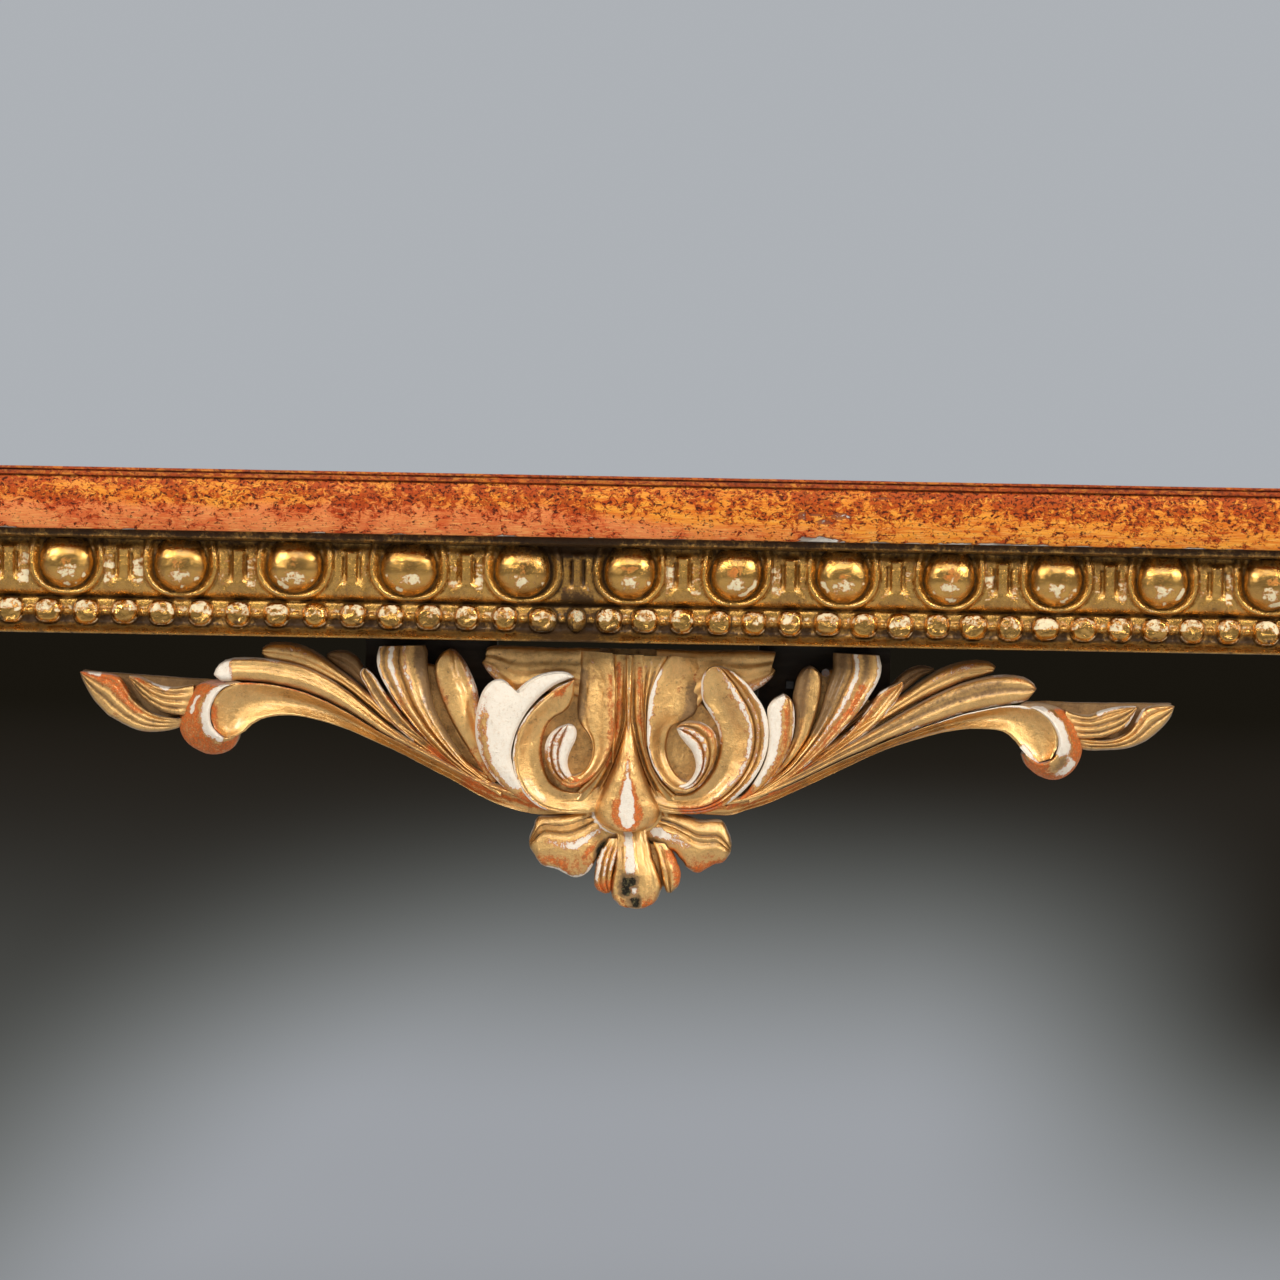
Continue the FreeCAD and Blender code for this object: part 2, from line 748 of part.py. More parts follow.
def oval(half_wide, half_tall, count):
    """Points of an ellipse, with a flat side at the bottom."""
    angles = [math.pi * (2 * index + 1) / count - math.pi / 2 for index in range(count)]
    return [(half_wide * math.cos(angle), half_tall * math.sin(angle)) for angle in angles]


EGG_STEPS = ((1, 0), (0.7, 0.8))
BEAD_STEPS = ((1, 0), (0.55, 1))
EGG_SIDES = 8
BEAD_SIDES = 6


def raised(outline, step_shares, relief):
    """A carved motif, its heights given as shares of its relief."""
    return stepped_solid(outline, [(share, rise * relief) for share, rise in step_shares])


def frieze_carving(length, way, pitch, first):
    """The eggs and the beads along a length from x = 0 towards way."""
    slope = math.atan2(
        value("ovolo_high_deep - ovolo_low_deep"), value("ovolo_high - ovolo_low")
    )
    rise_share = value("(egg_height - ovolo_low) / (ovolo_high - ovolo_low)")
    deep = value("ovolo_low_deep") + rise_share * value("ovolo_high_deep - ovolo_low_deep")
    egg_outline = oval(value("egg_wide / 2"), value("egg_tall / 2"), EGG_SIDES)
    egg = raised(egg_outline, EGG_STEPS, value("egg_relief"))
    egg.rotate(Vector(), Vector(1, 0, 0), math.degrees(slope))
    egg.translate(Vector(0, -deep, value("egg_height")))
    bead_radius = value("bead_thick / 2") / math.cos(math.pi / BEAD_SIDES)
    bead = raised(oval(bead_radius, bead_radius, BEAD_SIDES), BEAD_STEPS, value("bead_relief"))
    bead.translate(Vector(0, -value("bead_floor_deep"), value("bead_height")))
    motifs = []
    limit = length - value("corner_margin")
    along = first
    while along <= limit:
        motifs.append(egg.translated(Vector(way * along, 0, 0)))
        along += pitch
    bead_pitch = pitch / 3
    along = bead_pitch / 2
    while along <= limit + bead_pitch:
        motifs.append(bead.translated(Vector(way * along, 0, 0)))
        along += bead_pitch
    return Part.makeCompound(motifs)


def frieze_moulding(label, length, way, pitch, first, east, north, turn):
    """One length of the carved moulding, fixed to the rail at y = 0 and mitred at the corner."""
    floor_slope = "foot_fillet_deep - foot_fillet_slope"
    outline = [
        ("0", "frieze_tall"), ("-moulding_deep", "frieze_tall"), ("-moulding_deep", "ovolo_high"),
        ("-ovolo_high_deep", "ovolo_high"), ("-ovolo_low_deep", "ovolo_low"),
        ("-bead_floor_deep", "bead_floor_high"), ("-bead_floor_deep", "bead_floor_low"),
        ("-(" + floor_slope + ")", "foot_fillet_tall"), ("-foot_fillet_deep", "0"), ("0", "0"),
    ]
    body = moulding_run(label + "_run", outline, length, "moulding_deep", way=way)
    sign = 1 if way == "+" else -1
    carving = solid_feature(
        label + "_carving", frieze_carving(value(length), sign, value(pitch), value(first))
    )
    moulding = doc.addObject("Part::Fuse", label)
    moulding.Label = label
    moulding.Base = body
    moulding.Tool = carving
    place(moulding, east, north, FRIEZE_LOW, turn)
    keep(moulding)


def frieze_mouldings():
    """Two lengths across the front, butted off centre, and one along each end."""
    corner = FRAME_HALF + " + moulding_deep"
    side_length = FRAME_FRONT + " + " + FRAME_BACK + " + moulding_deep"
    front = "-" + FRAME_FRONT
    frieze_moulding(
        "frieze_front_left", corner + " - seam_place", "-", "egg_pitch_left", "first_egg_left",
        "-seam_place", front, 0,
    )
    frieze_moulding(
        "frieze_front_right", corner + " + seam_place", "+", "egg_pitch_right", "first_egg_right",
        "-seam_place", front, 0,
    )
    frieze_moulding(
        "frieze_left", side_length, "+", "egg_pitch_side", "first_egg_side",
        "-" + FRAME_HALF, FRAME_BACK, -90,
    )
    frieze_moulding(
        "frieze_right", side_length, "-", "egg_pitch_side", "first_egg_side",
        FRAME_HALF, FRAME_BACK, 90,
    )


# Brackets


def bracket(label, way, east, north, turn):
    """A carved bracket from x = 0 at the post along +X or -X, its top on the rail's underside."""
    body = new_body(label)
    outline = new_sketch(body, "XZ_Plane")
    run = way + "bracket_long"
    draw_outline(outline, [
        ("0", "0"), ("0", "-bracket_tall"),
        (way + "bracket_toe", "-bracket_tall", way + "bracket_low_radius"),
        (way + "bracket_waist_out", "-bracket_waist_down", way + "(-bracket_high_radius)"),
        (run, "-bracket_toe"), (run, "0"),
    ])
    pad(outline, "bracket_thick", middle=True)
    eye = new_sketch(body, "XZ_Plane")
    draw_octagon(eye, way + "bracket_eye_out", "-bracket_eye_down", "bracket_eye_thick")
    pad(eye, "bracket_thick + 2 * bracket_relief", middle=True)
    place(body, east, north, FRIEZE_LOW, turn)
    keep(body)


def brackets():
    """Two brackets on the front and two under each end rail."""
    inner = "(" + FRAME_HALF + " - post_wide)"
    front_line = "bracket_thick / 2 + bracket_relief - " + FRAME_FRONT
    side_line = "(" + FRAME_HALF + " - bracket_thick / 2 - bracket_relief)"
    front_post = "post_wide - " + FRAME_FRONT
    back_post = FRAME_BACK + " - post_wide"
    bracket("bracket_front_left", "", "-" + inner, front_line, 0)
    bracket("bracket_front_right", "-", inner, front_line, 0)
    bracket("bracket_left_front", "-", "-" + side_line, front_post, -90)
    bracket("bracket_left_back", "", "-" + side_line, back_post, -90)
    bracket("bracket_right_front", "", side_line, front_post, 90)
    bracket("bracket_right_back", "-", side_line, back_post, 90)


# Carved pendant

# Each lobe of one half of the pendant lies between an outer and an inner edge, written from its
# root to its tip. A point is its distance from the middle as a share of half the pendant's width,
# and its depth below the rail as a share of the pendant's height.
# The last three values are the levels of the lobe's back, edges and crest as shares of the
# pendant's thickness.
LOBE_SHARES = {
    "main_rib": (
        ((0.26, 0.53), (0.35, 0.43), (0.435, 0.36), (0.52, 0.27), (0.59, 0.22), (0.65, 0.195),
         (0.71, 0.205), (0.745, 0.27)),
        ((0.24, 0.61), (0.35, 0.49), (0.435, 0.40), (0.52, 0.335), (0.59, 0.30), (0.645, 0.295),
         (0.69, 0.315), (0.71, 0.355)),
        (0.10, 0.62, 0.84),
    ),
    "volute": (
        ((0.79, 0.17), (0.822, 0.26), (0.828, 0.35), (0.805, 0.42), (0.765, 0.455), (0.725, 0.43),
         (0.70, 0.37)),
        ((0.735, 0.165), (0.76, 0.26), (0.762, 0.33), (0.75, 0.365), (0.738, 0.375), (0.725, 0.365),
         (0.715, 0.345)),
        (0.10, 0.70, 0.90),
    ),
    "volute_bowl": (
        ((0.69, 0.20), (0.695, 0.28), (0.70, 0.36)),
        ((0.76, 0.18), (0.78, 0.27), (0.75, 0.39)),
        (0.10, 0.45, 0.40),
    ),
    "end_leaf": (
        ((0.79, 0.165), (0.826, 0.165), (0.857, 0.16), (0.887, 0.155), (0.92, 0.15), (0.95, 0.147),
         (0.978, 0.145), (1.0, 0.142)),
        ((0.80, 0.35), (0.835, 0.36), (0.865, 0.37), (0.90, 0.355), (0.935, 0.32), (0.96, 0.28),
         (0.983, 0.225), (1.0, 0.155)),
        (0.10, 0.45, 0.80),
    ),
    "leaf_low": (
        ((0.54, 0.18), (0.60, 0.117), (0.65, 0.086), (0.696, 0.077), (0.73, 0.086), (0.752, 0.126)),
        ((0.54, 0.27), (0.60, 0.235), (0.65, 0.212), (0.696, 0.188), (0.73, 0.169), (0.75, 0.144)),
        (0.10, 0.50, 0.72),
    ),
    "leaf_middle": (
        ((0.49, 0.14), (0.54, 0.099), (0.575, 0.045), (0.61, 0.027), (0.643, 0.027), (0.665, 0.045)),
        ((0.51, 0.25), (0.557, 0.18), (0.60, 0.13), (0.63, 0.095), (0.652, 0.081), (0.667, 0.063)),
        (0.10, 0.46, 0.66),
    ),
    "leaf_small": (
        ((0.47, 0.14), (0.495, 0.081), (0.52, 0.054), (0.548, 0.058)),
        ((0.47, 0.26), (0.51, 0.18), (0.53, 0.13), (0.55, 0.072)),
        (0.10, 0.42, 0.60),
    ),
    "leaf_point": (
        ((0.45, 0.33), (0.474, 0.216), (0.492, 0.153), (0.487, 0.117)),
        ((0.41, 0.33), (0.43, 0.216), (0.45, 0.162), (0.476, 0.122)),
        (0.10, 0.52, 0.70),
    ),
    "tall_lobe": (
        ((0.27, 0.54), (0.34, 0.432), (0.40, 0.324), (0.44, 0.216), (0.461, 0.117), (0.457, 0.0)),
        ((0.24, 0.53), (0.295, 0.414), (0.335, 0.306), (0.357, 0.198), (0.365, 0.108), (0.37, 0.0)),
        (0.0, 0.50, 0.74),
    ),
    "round_lobe": (
        ((0.26, 0.495), (0.304, 0.378), (0.335, 0.27), (0.352, 0.162), (0.35, 0.081), (0.335, 0.045)),
        ((0.23, 0.46), (0.26, 0.342), (0.278, 0.252), (0.289, 0.162), (0.302, 0.081), (0.322, 0.045)),
        (0.10, 0.56, 0.78),
    ),
    "heart_leaf": (
        ((0.20, 0.60), (0.252, 0.495), (0.274, 0.378), (0.274, 0.27), (0.26, 0.18), (0.239, 0.14)),
        ((0.17, 0.60), (0.20, 0.505), (0.20, 0.396), (0.19, 0.288), (0.183, 0.198), (0.209, 0.153)),
        (0.20, 0.66, 0.88),
    ),
    "scroll_leaf": (
        ((0.165, 0.63), (0.213, 0.513), (0.217, 0.378), (0.20, 0.252), (0.174, 0.144), (0.13, 0.108),
         (0.10, 0.122)),
        ((0.12, 0.60), (0.143, 0.486), (0.152, 0.387), (0.143, 0.306), (0.117, 0.261), (0.098, 0.207),
         (0.096, 0.153)),
        (0.20, 0.72, 0.96),
    ),
    "small_curl": (
        ((0.13, 0.55), (0.146, 0.45), (0.146, 0.378), (0.13, 0.324), (0.109, 0.311)),
        ((0.105, 0.55), (0.10, 0.486), (0.107, 0.441), (0.096, 0.387), (0.093, 0.342)),
        (0.20, 0.70, 0.90),
    ),
    "inner_scroll": (
        ((0.052, 0.02), (0.054, 0.18), (0.052, 0.30), (0.061, 0.38), (0.078, 0.441), (0.10, 0.477),
         (0.13, 0.47)),
        ((0.018, 0.02), (0.02, 0.18), (0.02, 0.315), (0.033, 0.405), (0.052, 0.477), (0.087, 0.54),
         (0.13, 0.545)),
        (0.20, 0.66, 0.82),
    ),
    "bottom_lobe": (
        ((0.13, 0.60), (0.165, 0.66), (0.183, 0.72), (0.183, 0.78), (0.165, 0.82)),
        ((0.04, 0.66), (0.06, 0.74), (0.09, 0.80), (0.12, 0.84), (0.145, 0.845)),
        (0.20, 0.62, 0.84),
    ),
    "bottom_finger": (
        ((0.09, 0.66), (0.107, 0.76), (0.104, 0.84), (0.091, 0.885)),
        ((0.04, 0.68), (0.055, 0.80), (0.063, 0.86), (0.076, 0.888)),
        (0.20, 0.66, 0.86),
    ),
    "bottom_claw": (
        ((0.06, 0.70), (0.074, 0.81), (0.074, 0.88), (0.057, 0.93), (0.04, 0.945)),
        ((0.02, 0.70), (0.03, 0.81), (0.032, 0.88), (0.03, 0.92), (0.027, 0.935)),
        (0.20, 0.66, 0.88),
    ),
}

# The middle tongue: half its width as a share of half the pendant's width, at each depth share
TONGUE_SHARES = (
    (0.045, 0.66), (0.048, 0.79), (0.045, 0.87), (0.041, 0.94), (0.028, 0.98), (0.010, 1.0),
)
TONGUE_LEVEL_SHARES = (0.20, 0.70, 0.92)

# The flat ground behind the lobes, which rises to the rail and carries them all
GROUND_SHARES = (
    (0.0, 0.0), (0.26, 0.0), (0.25, 0.14), (0.29, 0.17), (0.29, 0.30), (0.42, 0.33), (0.50, 0.24),
    (0.58, 0.22), (0.58, 0.28), (0.42, 0.40), (0.24, 0.58), (0.16, 0.66), (0.14, 0.76),
    (0.06, 0.84), (0.0, 0.86),
)

# The pear-shaped drop: radius as a share of half its width, at each depth as a share of its height
DROP_SHARES = ((0.10, 0.0), (0.34, 0.15), (0.68, 0.36), (0.92, 0.58), (1.0, 0.76), (0.78, 0.92), (0.2, 1.0))


def lobe_section(left, right, level_shares):
    """The section of a lobe between two edge points (x, z): flat back, raised edges, a crest."""
    thick = value("pendant_thick")
    back, edge, crest = [-share * thick for share in level_shares]
    middle = ((left[0] + right[0]) / 2, (left[1] + right[1]) / 2)
    corners = [(left, back), (left, edge), (middle, crest), (right, edge), (right, back)]
    return [Vector(spot[0], level, spot[1]) for spot, level in corners]


def lobe(outer_shares, inner_shares, level_shares):
    """One lobe of the right half, lofted through straight facets from root to tip."""
    half = value("pendant_wide / 2")
    tall = value("pendant_tall")
    sections = []
    for outer, inner in zip(outer_shares, inner_shares):
        left = (inner[0] * half, -inner[1] * tall)
        right = (outer[0] * half, -outer[1] * tall)
        sections.append(lobe_section(left, right, level_shares))
    return faceted_loft(sections)


def pendant():
    """The carved pendant: a ground, mirrored lobes, the middle tongue and the drop."""
    half = value("pendant_wide / 2")
    tall = value("pendant_tall")
    outline = [Vector(across * half, 0, -down * tall) for across, down in GROUND_SHARES]
    right_ground = Part.Face(Part.makePolygon(outline + outline[:1])).extrude(
        Vector(0, -value("pendant_ground"), 0)
    )
    right_half = right_ground
    for outer_shares, inner_shares, level_shares in LOBE_SHARES.values():
        right_half = right_half.fuse(lobe(outer_shares, inner_shares, level_shares))
    left_half = right_half.mirror(Vector(), Vector(1, 0, 0))
    tongue = [
        lobe_section((-share * half, -down * tall), (share * half, -down * tall), TONGUE_LEVEL_SHARES)
        for share, down in TONGUE_SHARES
    ]
    drop_rings = []
    for share, down in DROP_SHARES:
        radius = share * value("drop_thick / 2")
        height = -value("drop_top") - down * value("drop_tall")
        drop_rings.append([
            Vector(across, along - value("drop_place"), height)
            for across, along in oval(radius, radius, 12)
        ])
    carved = right_half.fuse(left_half)
    carved = carved.fuse(faceted_loft(tongue))
    return carved.fuse(faceted_loft(drop_rings))


def pendant_group():
    """The pendant under the front rail, its blocks, their nails and one later nail from the front."""
    back = value("rail_thick - " + FRAME_FRONT)
    top = value(FRIEZE_LOW)
    carved = pendant()
    carved.translate(Vector(0, back, top))
    nails = []
    deep = value("pendant_block_deep")
    blocks = {}
    for label, side in (("pendant_block_left", -1), ("pendant_block_right", 1)):
        centre = side * value("pendant_block_place")
        half_long = value("pendant_block_long / 2")
        blocks[label] = box_between(
            Vector(centre - half_long, back, top - value("pendant_block_down")),
            Vector(centre + half_long, back + deep, top + value("pendant_block_up")),
        )
        for across in (-1, 1):
            for height in (value("pendant_block_up / 2"), -value("pendant_block_down / 2")):
                spot = Vector(centre + across * value("nail_spread / 2"), back + deep, top + height)
                nails.append(forged_nail(spot))
    spot_x = value("repair_nail_place")
    spot_z = top - value("repair_nail_down")
    front = back - value("pendant_thick")
    half_thick = value("repair_nail_thick / 2")
    reach = Vector(half_thick, value("repair_nail_long"), half_thick)
    corner = Vector(spot_x - half_thick, front, spot_z - half_thick)
    probe = box_between(corner, corner + Vector(2 * half_thick, value("pendant_thick"), 2 * half_thick))
    face = carved.common(probe).BoundBox.YMin
    start = Vector(spot_x, face, spot_z)
    shank = box_between(start - Vector(half_thick, 0, half_thick), start + reach)
    head_tall = value("repair_nail_head_tall")
    head = Part.makeCylinder(
        value("repair_nail_head_thick / 2"), 2 * head_tall, start - Vector(0, head_tall, 0), Vector(0, 1, 0)
    )
    repair = shank.fuse(head).removeSplitter()
    cutter = Part.makeCompound(nails + [repair])
    keep(solid_feature("pendant", carved.cut(cutter)))
    for label, block in blocks.items():
        keep(solid_feature(label, block.cut(cutter)))
    keep(solid_feature("pendant_nails", Part.makeCompound(nails)))
    keep(solid_feature("repair_nail", repair))


def build():
    """Make every sub-part."""
    top_boards()
    top_mouldings()
    rails()
    bearers()
    top_nails()
    glue_blocks()
    tenon_pegs()
    legs()
    frieze_mouldings()
    brackets()
    pendant_group()


def write_parts():
    """Check every object and write each sub-part to its own file."""
    doc.recompute()
    for item in doc.Objects:
        if "Invalid" in item.State or "Error" in item.State:
            raise RuntimeError(item.Label + " failed: " + ", ".join(item.State))
    for item in PARTS:
        if item.Shape.isNull() or not item.Shape.isValid():
            raise RuntimeError(item.Label + " has no valid shape")
        item.Shape.exportStep("parts/" + item.Label + ".step")
        print(item.Label, len(item.Shape.Solids), round(item.Shape.Volume))


build()
write_parts()
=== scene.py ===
"""Giltwood console table: carved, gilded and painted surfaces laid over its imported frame."""

import math

import bpy
import numpy as np
from bpy.props import FloatProperty, FloatVectorProperty, PointerProperty
from mathutils import Matrix, Vector
from mathutils.geometry import tessellate_polygon


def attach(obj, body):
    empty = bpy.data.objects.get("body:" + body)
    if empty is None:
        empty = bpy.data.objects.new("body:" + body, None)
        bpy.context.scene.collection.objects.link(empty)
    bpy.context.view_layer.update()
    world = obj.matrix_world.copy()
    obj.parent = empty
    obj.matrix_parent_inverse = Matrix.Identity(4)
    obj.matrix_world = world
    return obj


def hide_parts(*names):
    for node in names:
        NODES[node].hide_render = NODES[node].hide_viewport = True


bl_info = {
    "name": "Giltwood console table",
    "version": (1, 0, 0),
    "blender": (4, 5, 0),
    "location": "3D View > Sidebar > Table",
    "description": "Carved, gilded and painted surfaces for a console table",
    "category": "Add Mesh",
}

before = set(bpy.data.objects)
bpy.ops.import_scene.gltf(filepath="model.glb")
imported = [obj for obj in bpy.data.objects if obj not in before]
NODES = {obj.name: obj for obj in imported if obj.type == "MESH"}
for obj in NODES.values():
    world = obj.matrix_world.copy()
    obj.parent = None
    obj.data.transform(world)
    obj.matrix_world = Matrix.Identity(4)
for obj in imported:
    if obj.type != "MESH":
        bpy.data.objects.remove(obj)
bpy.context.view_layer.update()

# One millimetre in metres: shapes are worked out in millimetres and laid in metres
MM = 0.001

# Points this close, in metres, are welded into one; a ring this small, in millimetres, is a point
WELD = 2e-6
POINT_LIKE = 1e-3

# Heights of the frieze moulding's foot and of the top's underside
FRIEZE_FOOT = 780.0
TOP_FOOT = 824.0

# Outer faces of the rails: half the frame's width, and its front and back
FRAME_HALF = 668.0
FRAME_FRONT = 208.0
FRAME_BACK = 234.0

# For each side of the table, how a run's place and its distance out count east and north
SIDES = {"front": ((1, 0), (0, -1)), "left": ((0, -1), (-1, 0)), "right": ((0, 1), (1, 0))}


# Number tools

def unit(x):
    """x held between 0 and 1."""
    return np.clip(x, 0.0, 1.0)


def step(low, high, x):
    """0 below low, 1 above high, and between them a cubic that starts and ends level."""
    share = unit((x - low) / (high - low))
    return share * share * (3.0 - 2.0 * share)


def bell(x, width):
    """1 at nought, falling away with the square of x over the width."""
    return np.exp(-(x / width) ** 2)


def dome(x):
    """Height of a half circle over x: the root of 1 less x squared, and 0 past its ends."""
    return np.sqrt(unit(1.0 - x ** 2))


def lattice(x, y, seed):
    """Value noise from -1 to 1: a hashed number at each whole corner, blended by a level cubic."""
    x, y = np.broadcast_arrays(np.asarray(x, float), np.asarray(y, float))
    west, south = np.floor(x), np.floor(y)

    def corner(east, north):
        value = np.sin((west + east) * 127.1 + (south + north) * 311.7 + seed * 74.7) * 43758.5453
        return value - np.floor(value)

    u = step(0.0, 1.0, x - west)
    v = step(0.0, 1.0, y - south)
    low = corner(0, 0) * (1.0 - u) + corner(1, 0) * u
    high = corner(0, 1) * (1.0 - u) + corner(1, 1) * u
    return (low * (1.0 - v) + high * v) * 2.0 - 1.0


def roughcast(x, y, size, seed, octaves=3):
    """Sum of value noises, each half as wide and half as high as the one before."""
    total = 0.0
    for octave in range(octaves):
        finer = 2.0 ** octave
        total = total + lattice(x / size * finer, y / size * finer, seed + 13.0 * octave) / finer
    return total / 1.75


def blurred(height, times):
    """The height averaged with its neighbours along both axes, a number of times."""
    for _ in range(times):
        padded = np.pad(height, 1, mode="edge")
        height = (padded[:-2, 1:-1] + padded[2:, 1:-1] + padded[1:-1, :-2] + padded[1:-1, 2:]
                  + 4.0 * padded[1:-1, 1:-1]) / 8.0
    return height


def nearest(x, centres):
    """Signed distance from x to the nearest centre, and that centre's place in the list."""
    middles = (centres[1:] + centres[:-1]) / 2.0
    place = np.searchsorted(middles, x)
    return x - centres[place], place


def chance(place, seed):
    """A fixed number from 0 to 1 for each whole number."""
    value = np.sin(place * 91.7 + seed * 37.3) * 24634.6345
    return value - np.floor(value)


def distance_along(line):
    """Distance from the first point of a line to each of its points."""
    return np.concatenate([[0.0], np.cumsum(np.linalg.norm(np.diff(line, axis=0), axis=1))])


def smooth_line(corners, places):
    """Points along a Catmull-Rom curve through the corners.

    Places are shares of its length, or a number of points to space evenly."""
    corners = np.asarray(corners, float)
    ends = np.vstack([2 * corners[0] - corners[1], corners, 2 * corners[-1] - corners[-2]])
    share = np.linspace(0.0, 1.0, 24, endpoint=False)[:, None]
    runs = []
    for a, b, c, d in zip(ends[:-3], ends[1:-2], ends[2:-1], ends[3:]):
        curve = 2 * b + (c - a) * share + (2 * a - 5 * b + 4 * c - d) * share ** 2
        runs.append((curve + (3 * b - a - 3 * c + d) * share ** 3) / 2)
    line = np.vstack(runs + [corners[-1:]])
    length = distance_along(line)
    if np.isscalar(places):
        places = np.linspace(0.0, 1.0, places)
    return np.stack([np.interp(places * length[-1], length, part) for part in line.T], axis=1)


def lay_on(side, line):
    """A rule that lays (place along, distance out, height) on a side of the table, from a line."""
    (along_east, out_east), (along_north, out_north) = SIDES[side]

    def lay(along, out, up):
        out = out + line
        east, north = along_east * along + out_east * out, along_north * along + out_north * out
        return np.stack([east, north, up], axis=-1)

    return lay


# Mesh tools

class Surface:
    """Closed shells gathered into one mesh, with wear and a run map at each point.

    Wear holds how hollow, how high, how chipped and how rubbed the place is; the hollow number also
    carries painted shade, and the chipped number some painted highlights. The run map holds the
    distance along and around the piece, in metres."""

    def __init__(self):
        self.points, self.wear, self.run, self.faces = [], [], [], []
        self.count = 0

    def tube(self, rings, wear=None, run=None):
        """Join rings of points, one after another, into a shell closed round and at both ends."""
        rings = np.asarray(rings, float)
        rows, columns = rings.shape[:2]
        place = np.arange(rows * columns).reshape(rows, columns)
        after = np.roll(place, -1, axis=1)
        a, b, c, d = (grid.ravel() for grid in (place[:-1], after[:-1], after[1:], place[1:]))
        faces = [np.stack([a, b, c], axis=1), np.stack([a, c, d], axis=1)]
        for row in (0, rows - 1):
            if np.ptp(rings[row], axis=0).max() > POINT_LIKE:
                loop = [Vector(point) for point in rings[row]]
                cap = np.array(tessellate_polygon([loop])).reshape(-1, 3)
                faces.append(self.turned(cap, columns, row > 0) + place[row, 0])
        points = rings.reshape(-1, 3)
        faces = np.concatenate(faces)
        corners = points[faces]
        volume = np.einsum("ij,ij->", corners[:, 0], np.cross(corners[:, 1], corners[:, 2]))
        if volume < 0:
            faces = faces[:, ::-1]
        self.points.append(points)
        self.faces.append(faces + self.count)
        blank = np.zeros((rows, columns, 4))
        self.wear.append((blank if wear is None else wear).reshape(-1, 4))
        self.run.append((blank[..., :2] if run is None else run).reshape(-1, 2))
        self.count += rows * columns

    @staticmethod
    def turned(cap, columns, forward):
        """A cap's triangles, its rim running with the ring's order or against it, as asked."""
        stride = (np.roll(cap, -1, axis=1) - cap) % columns
        runs_forward = (stride == 1).sum() > (stride == columns - 1).sum()
        return cap if runs_forward == forward else cap[:, ::-1]

    def build(self, name, replaced, material, sharp):
        """Weld doubled points, drop faces without width, and lay the mesh as a riding piece."""
        points = np.concatenate(self.points) * MM
        faces = np.concatenate(self.faces)
        cells = np.round(points / WELD).astype(np.int64)
        _, first, back = np.unique(cells, axis=0, return_index=True, return_inverse=True)
        faces = back.ravel()[faces]
        a, b, c = faces.T
        faces = faces[(a != b) & (b != c) & (c != a)]
        mesh = bpy.data.meshes.new(name)
        mesh.vertices.add(len(first))
        mesh.vertices.foreach_set("co", points[first].ravel())
        mesh.loops.add(faces.size)
        mesh.loops.foreach_set("vertex_index", faces.ravel())
        mesh.polygons.add(len(faces))
        mesh.polygons.foreach_set("loop_start", np.arange(0, faces.size, 3))
        mesh.update(calc_edges=True)
        mesh.validate()
        wear = np.clip(np.concatenate(self.wear)[first], 0.0, 2.0).astype(np.float32)
        mesh.attributes.new("wear", "FLOAT_COLOR", "POINT").data.foreach_set("color", wear.ravel())
        corners = np.empty(len(mesh.loops), np.int32)
        mesh.loops.foreach_get("vertex_index", corners)
        run = np.concatenate(self.run)[first][corners].astype(np.float32)
        mesh.uv_layers.new(name="run").data.foreach_set("uv", run.ravel())
        mesh.polygons.foreach_set("use_smooth", np.ones(len(mesh.polygons), bool))
        mesh.set_sharp_from_angle(angle=math.radians(sharp))
        mesh.materials.append(material)
        piece = bpy.data.objects.new(name, mesh)
        bpy.context.scene.collection.objects.link(piece)
        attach(piece, "root")
        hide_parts(replaced)


def relief_wear(height, reach, gain):
    """How hollow and how high each place is against its own surroundings, from 0 to 1."""
    over = (height - blurred(height, reach)) * gain
    return unit(-over), unit(over)


# Shader tools

class Wire:
    """A socket of a shader, with the arithmetic of numbers written as Python."""

    def __init__(self, finish, socket):
        self.finish = finish
        self.socket = socket

    def math(self, operation, *values):
        return self.finish.node("Math", {"operation": operation}, dict(enumerate(values)))

    def __add__(self, other):
        return self.math("ADD", self, other)

    def __radd__(self, other):
        return self.math("ADD", other, self)

    def __sub__(self, other):
        return self.math("SUBTRACT", self, other)

    def __rsub__(self, other):
        return self.math("SUBTRACT", other, self)

    def __mul__(self, other):
        return self.math("MULTIPLY", self, other)

    def __rmul__(self, other):
        return self.math("MULTIPLY", other, self)

    def __truediv__(self, other):
        return self.math("DIVIDE", self, other)

    def __rtruediv__(self, other):
        return self.math("DIVIDE", other, self)

    def top(self, other):
        """The larger of the two."""
        return self.math("MAXIMUM", self, other)

    def low(self, other):
        """The smaller of the two."""
        return self.math("MINIMUM", self, other)

    def rise(self, start, end):
        """0 at start, 1 at end, level outside them."""
        return self.finish.node(
            "MapRange", {"interpolation_type": "SMOOTHSTEP"},
            {"Value": self, "From Min": start, "From Max": end})


